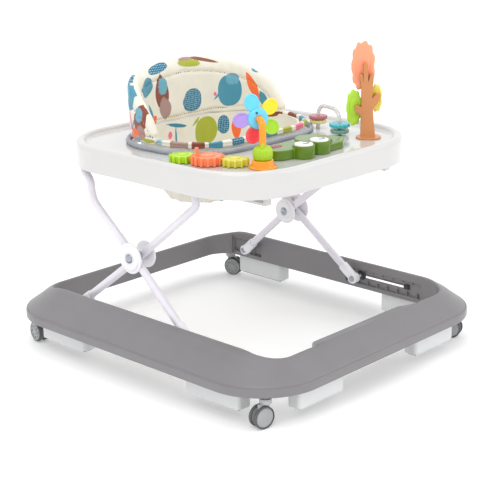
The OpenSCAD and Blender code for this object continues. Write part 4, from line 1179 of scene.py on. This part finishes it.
for radius, along in ((0.01, 0), (12, 0.1), (16, 1), (18.2, 5), (18.5, 10), (18.2, 16), (16.4, 21),
                      (12.6, 24.4), (9, 26), (0.01, 26)):
    loops.append([flower_foot + Vector((0, 0, 15 + along)) + Vector((math.cos(a), math.sin(a), 0)) * radius
                  * (1 - 0.07 * abs(math.cos(4.5 * a)) ** 6) for a in round_angles(count)])
finished(keep(outward(loft(loops)), "flower_bulb_ribbed"), "tray", toy_lime, "flower_bulb", slot="toy_lime")
top = flower_foot + Vector((0, 0, 86))
stem = keep(swept(bent([flower_foot + Vector((0, 0, 41)), top, top + flower_dir * 25], [15], 2.0), 6.4, 28),
            "flower_stem_tube")
finished(stem, "tray", toy_orange, "flower_stem", slot="toy_orange")
blade = []
for f in np.linspace(0, 1, 9):
    half = 4.2 * math.sin(math.pi * min(f + 0.15, 1)) + 0.3
    centre = flower_foot + Vector((-10, -9, 36 + 15 * f))
    blade.append([centre + Vector((math.cos(a), math.sin(a) * 0.35, 0)) * half for a in round_angles(16)])
finished(keep(outward(loft(capped(blade))), "flower_bulb_leaf"), "tray", toy_lime, slot="toy_lime")

across = Vector((math.sin(facing), -math.cos(facing), 0))
middle = top + flower_dir * 17
hub = turned([(6.7, 0), (12, 0), (16.6, 0.6), (18.8, 2.2), (19.4, 4.4), (19.4, 10.8), (18.8, 12.8),
              (16.6, 14.4), (12, 15), (0, 15),
              (0, 9.6), (6.7, 9.6), (6.7, 0)], middle, flower_dir, across, 72)
finished(joined("flower_hub_dome", [hub]), "flower", toy_sky, "flower_hub", slot="toy_sky")
spot = turned([(0, -0.5), (2.2, -0.45), (2.6, 0.3), (0, 0.3)], middle - across * 4 + Vector((0, 0, 11)),
              flower_dir, across, 24)
finished(joined("flower_hub_dot", [spot]), "flower", dark_teal, slot="toy_sky")
for k, (colour, shade, word) in enumerate((("#F6DE14", "#E6C400", "yellow"), ("#62D4F6", "#40B8E4", "blue"),
                                           ("#B496E6", "#9678D0", "violet"), ("#F84A58", "#DC2C3E", "red"),
                                           ("#A6DE04", "#84C000", "green"))):
    a = math.radians(38 + 72 * k)
    ray = across * math.cos(a) + Vector((0, 0, 1)) * math.sin(a)
    side = flower_dir.cross(ray)
    loops, count = [], 96
    for share, along in ((0.05, 1.5), (0.5, 1.2), (0.76, 0.9), (0.82, 0.1), (0.9, -0.2), (0.97, 0.5),
                         (1.0, 1.8), (1.0, 3.4),
                         (0.97, 4.6), (0.9, 5.2), (0.82, 4.9), (0.76, 4.1), (0.5, 3.8), (0.05, 3.5)):
        loop = []
        for b in round_angles(count):
            p = (math.cos(b) * 16.4 * share, math.sin(b) * 14.2 * share)
            loop.append(middle + flower_dir * (5 + along) + ray * (31.2 + p[0]) + side * p[1])
        loops.append(loop)
    paint = moulded("moulded_abs_petal_" + word, colour, 0.24, 2.0, 0.02, coat=0.3, shift=shade,
                    shift_share=0.3)
    petal = keep(outward(loft(capped(loops))), "petal_" + word)
    finished(petal, "flower", paint, *(("flower_petals",) if k == 0 else ()), slot="toy_sky")

# ---------- gears ----------
# Three scalloped gears mesh in a row at the left of the deck on fixed pins. The coral one in the
# middle has a raised face and an upright peg, and turns the green and yellow ones beside it.

toy_coral = moulded("moulded_abs_coral", "#FF8A58", 0.24, 2.0, 0.02, coat=0.2, shift="#F27444",
                    shift_share=0.3)
toy_yellow = moulded("moulded_abs_yellow", "#DDD446", 0.24, 2.0, 0.02, coat=0.2, shift="#CABE30",
                     shift_share=0.3)
toy_green = moulded("moulded_abs_green_light", "#B6E020", 0.24, 2.0, 0.02, coat=0.2, shift="#9CCC14",
                    shift_share=0.3)


def above(node, height):
    """The point above the middle of a frame part's plan, at a height in millimetres."""
    low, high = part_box(node)
    return Vector(((low.x + high.x) / 2 / mm, (low.y + high.y) / 2 / mm, height))


pins = [turned([(0, 0), (4, 0), (4, 9.4), (3.4, 10), (0, 10)], above("gear_" + word, deck_z), (0, 0, 1),
               (1, 0, 0), 32)
        for word in ("green", "coral", "yellow")]
finished(joined("gear_pin_set", pins), "tray", eye_white, "gear_pins", slot="white_fitting")
for word, paint, slot, height, r in (("green", toy_green, "toy_lime", 14, 11),
                                     ("coral", toy_coral, "toy_coral", 17, 16),
                                     ("yellow", toy_yellow, "toy_yellow", 14, 11)):
    machined("gear_wheel_" + word, "gear_" + word, paint, "gear_" + word, edge=1.3, slot=slot)
    cap = turned([(0, -0.5), (r, -0.5), (r, 0.6), (r - 0.8, 1.6), (r - 3, 2.2), (4, 2.4), (0, 2.4)],
                 above("gear_" + word, deck_z + height), (0, 0, 1), (1, 0, 0), 64)
    finished(joined("gear_cap_" + word, [cap]), "gear_" + word, paint, slot=slot)
knob = turned([(0, -0.5), (4, -0.5), (4, 1), (3.5, 4), (3.4, 10), (3.9, 12.6), (3.8, 14.6), (2.8, 15.8),
               (0, 16.1)],
              above("crank_knob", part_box("crank_knob")[0].z / mm), (0, 0, 1), (1, 0, 0), 40)
finished(joined("gear_peg", [knob]), "gear_coral", toy_coral, "crank_knob", slot="toy_coral")
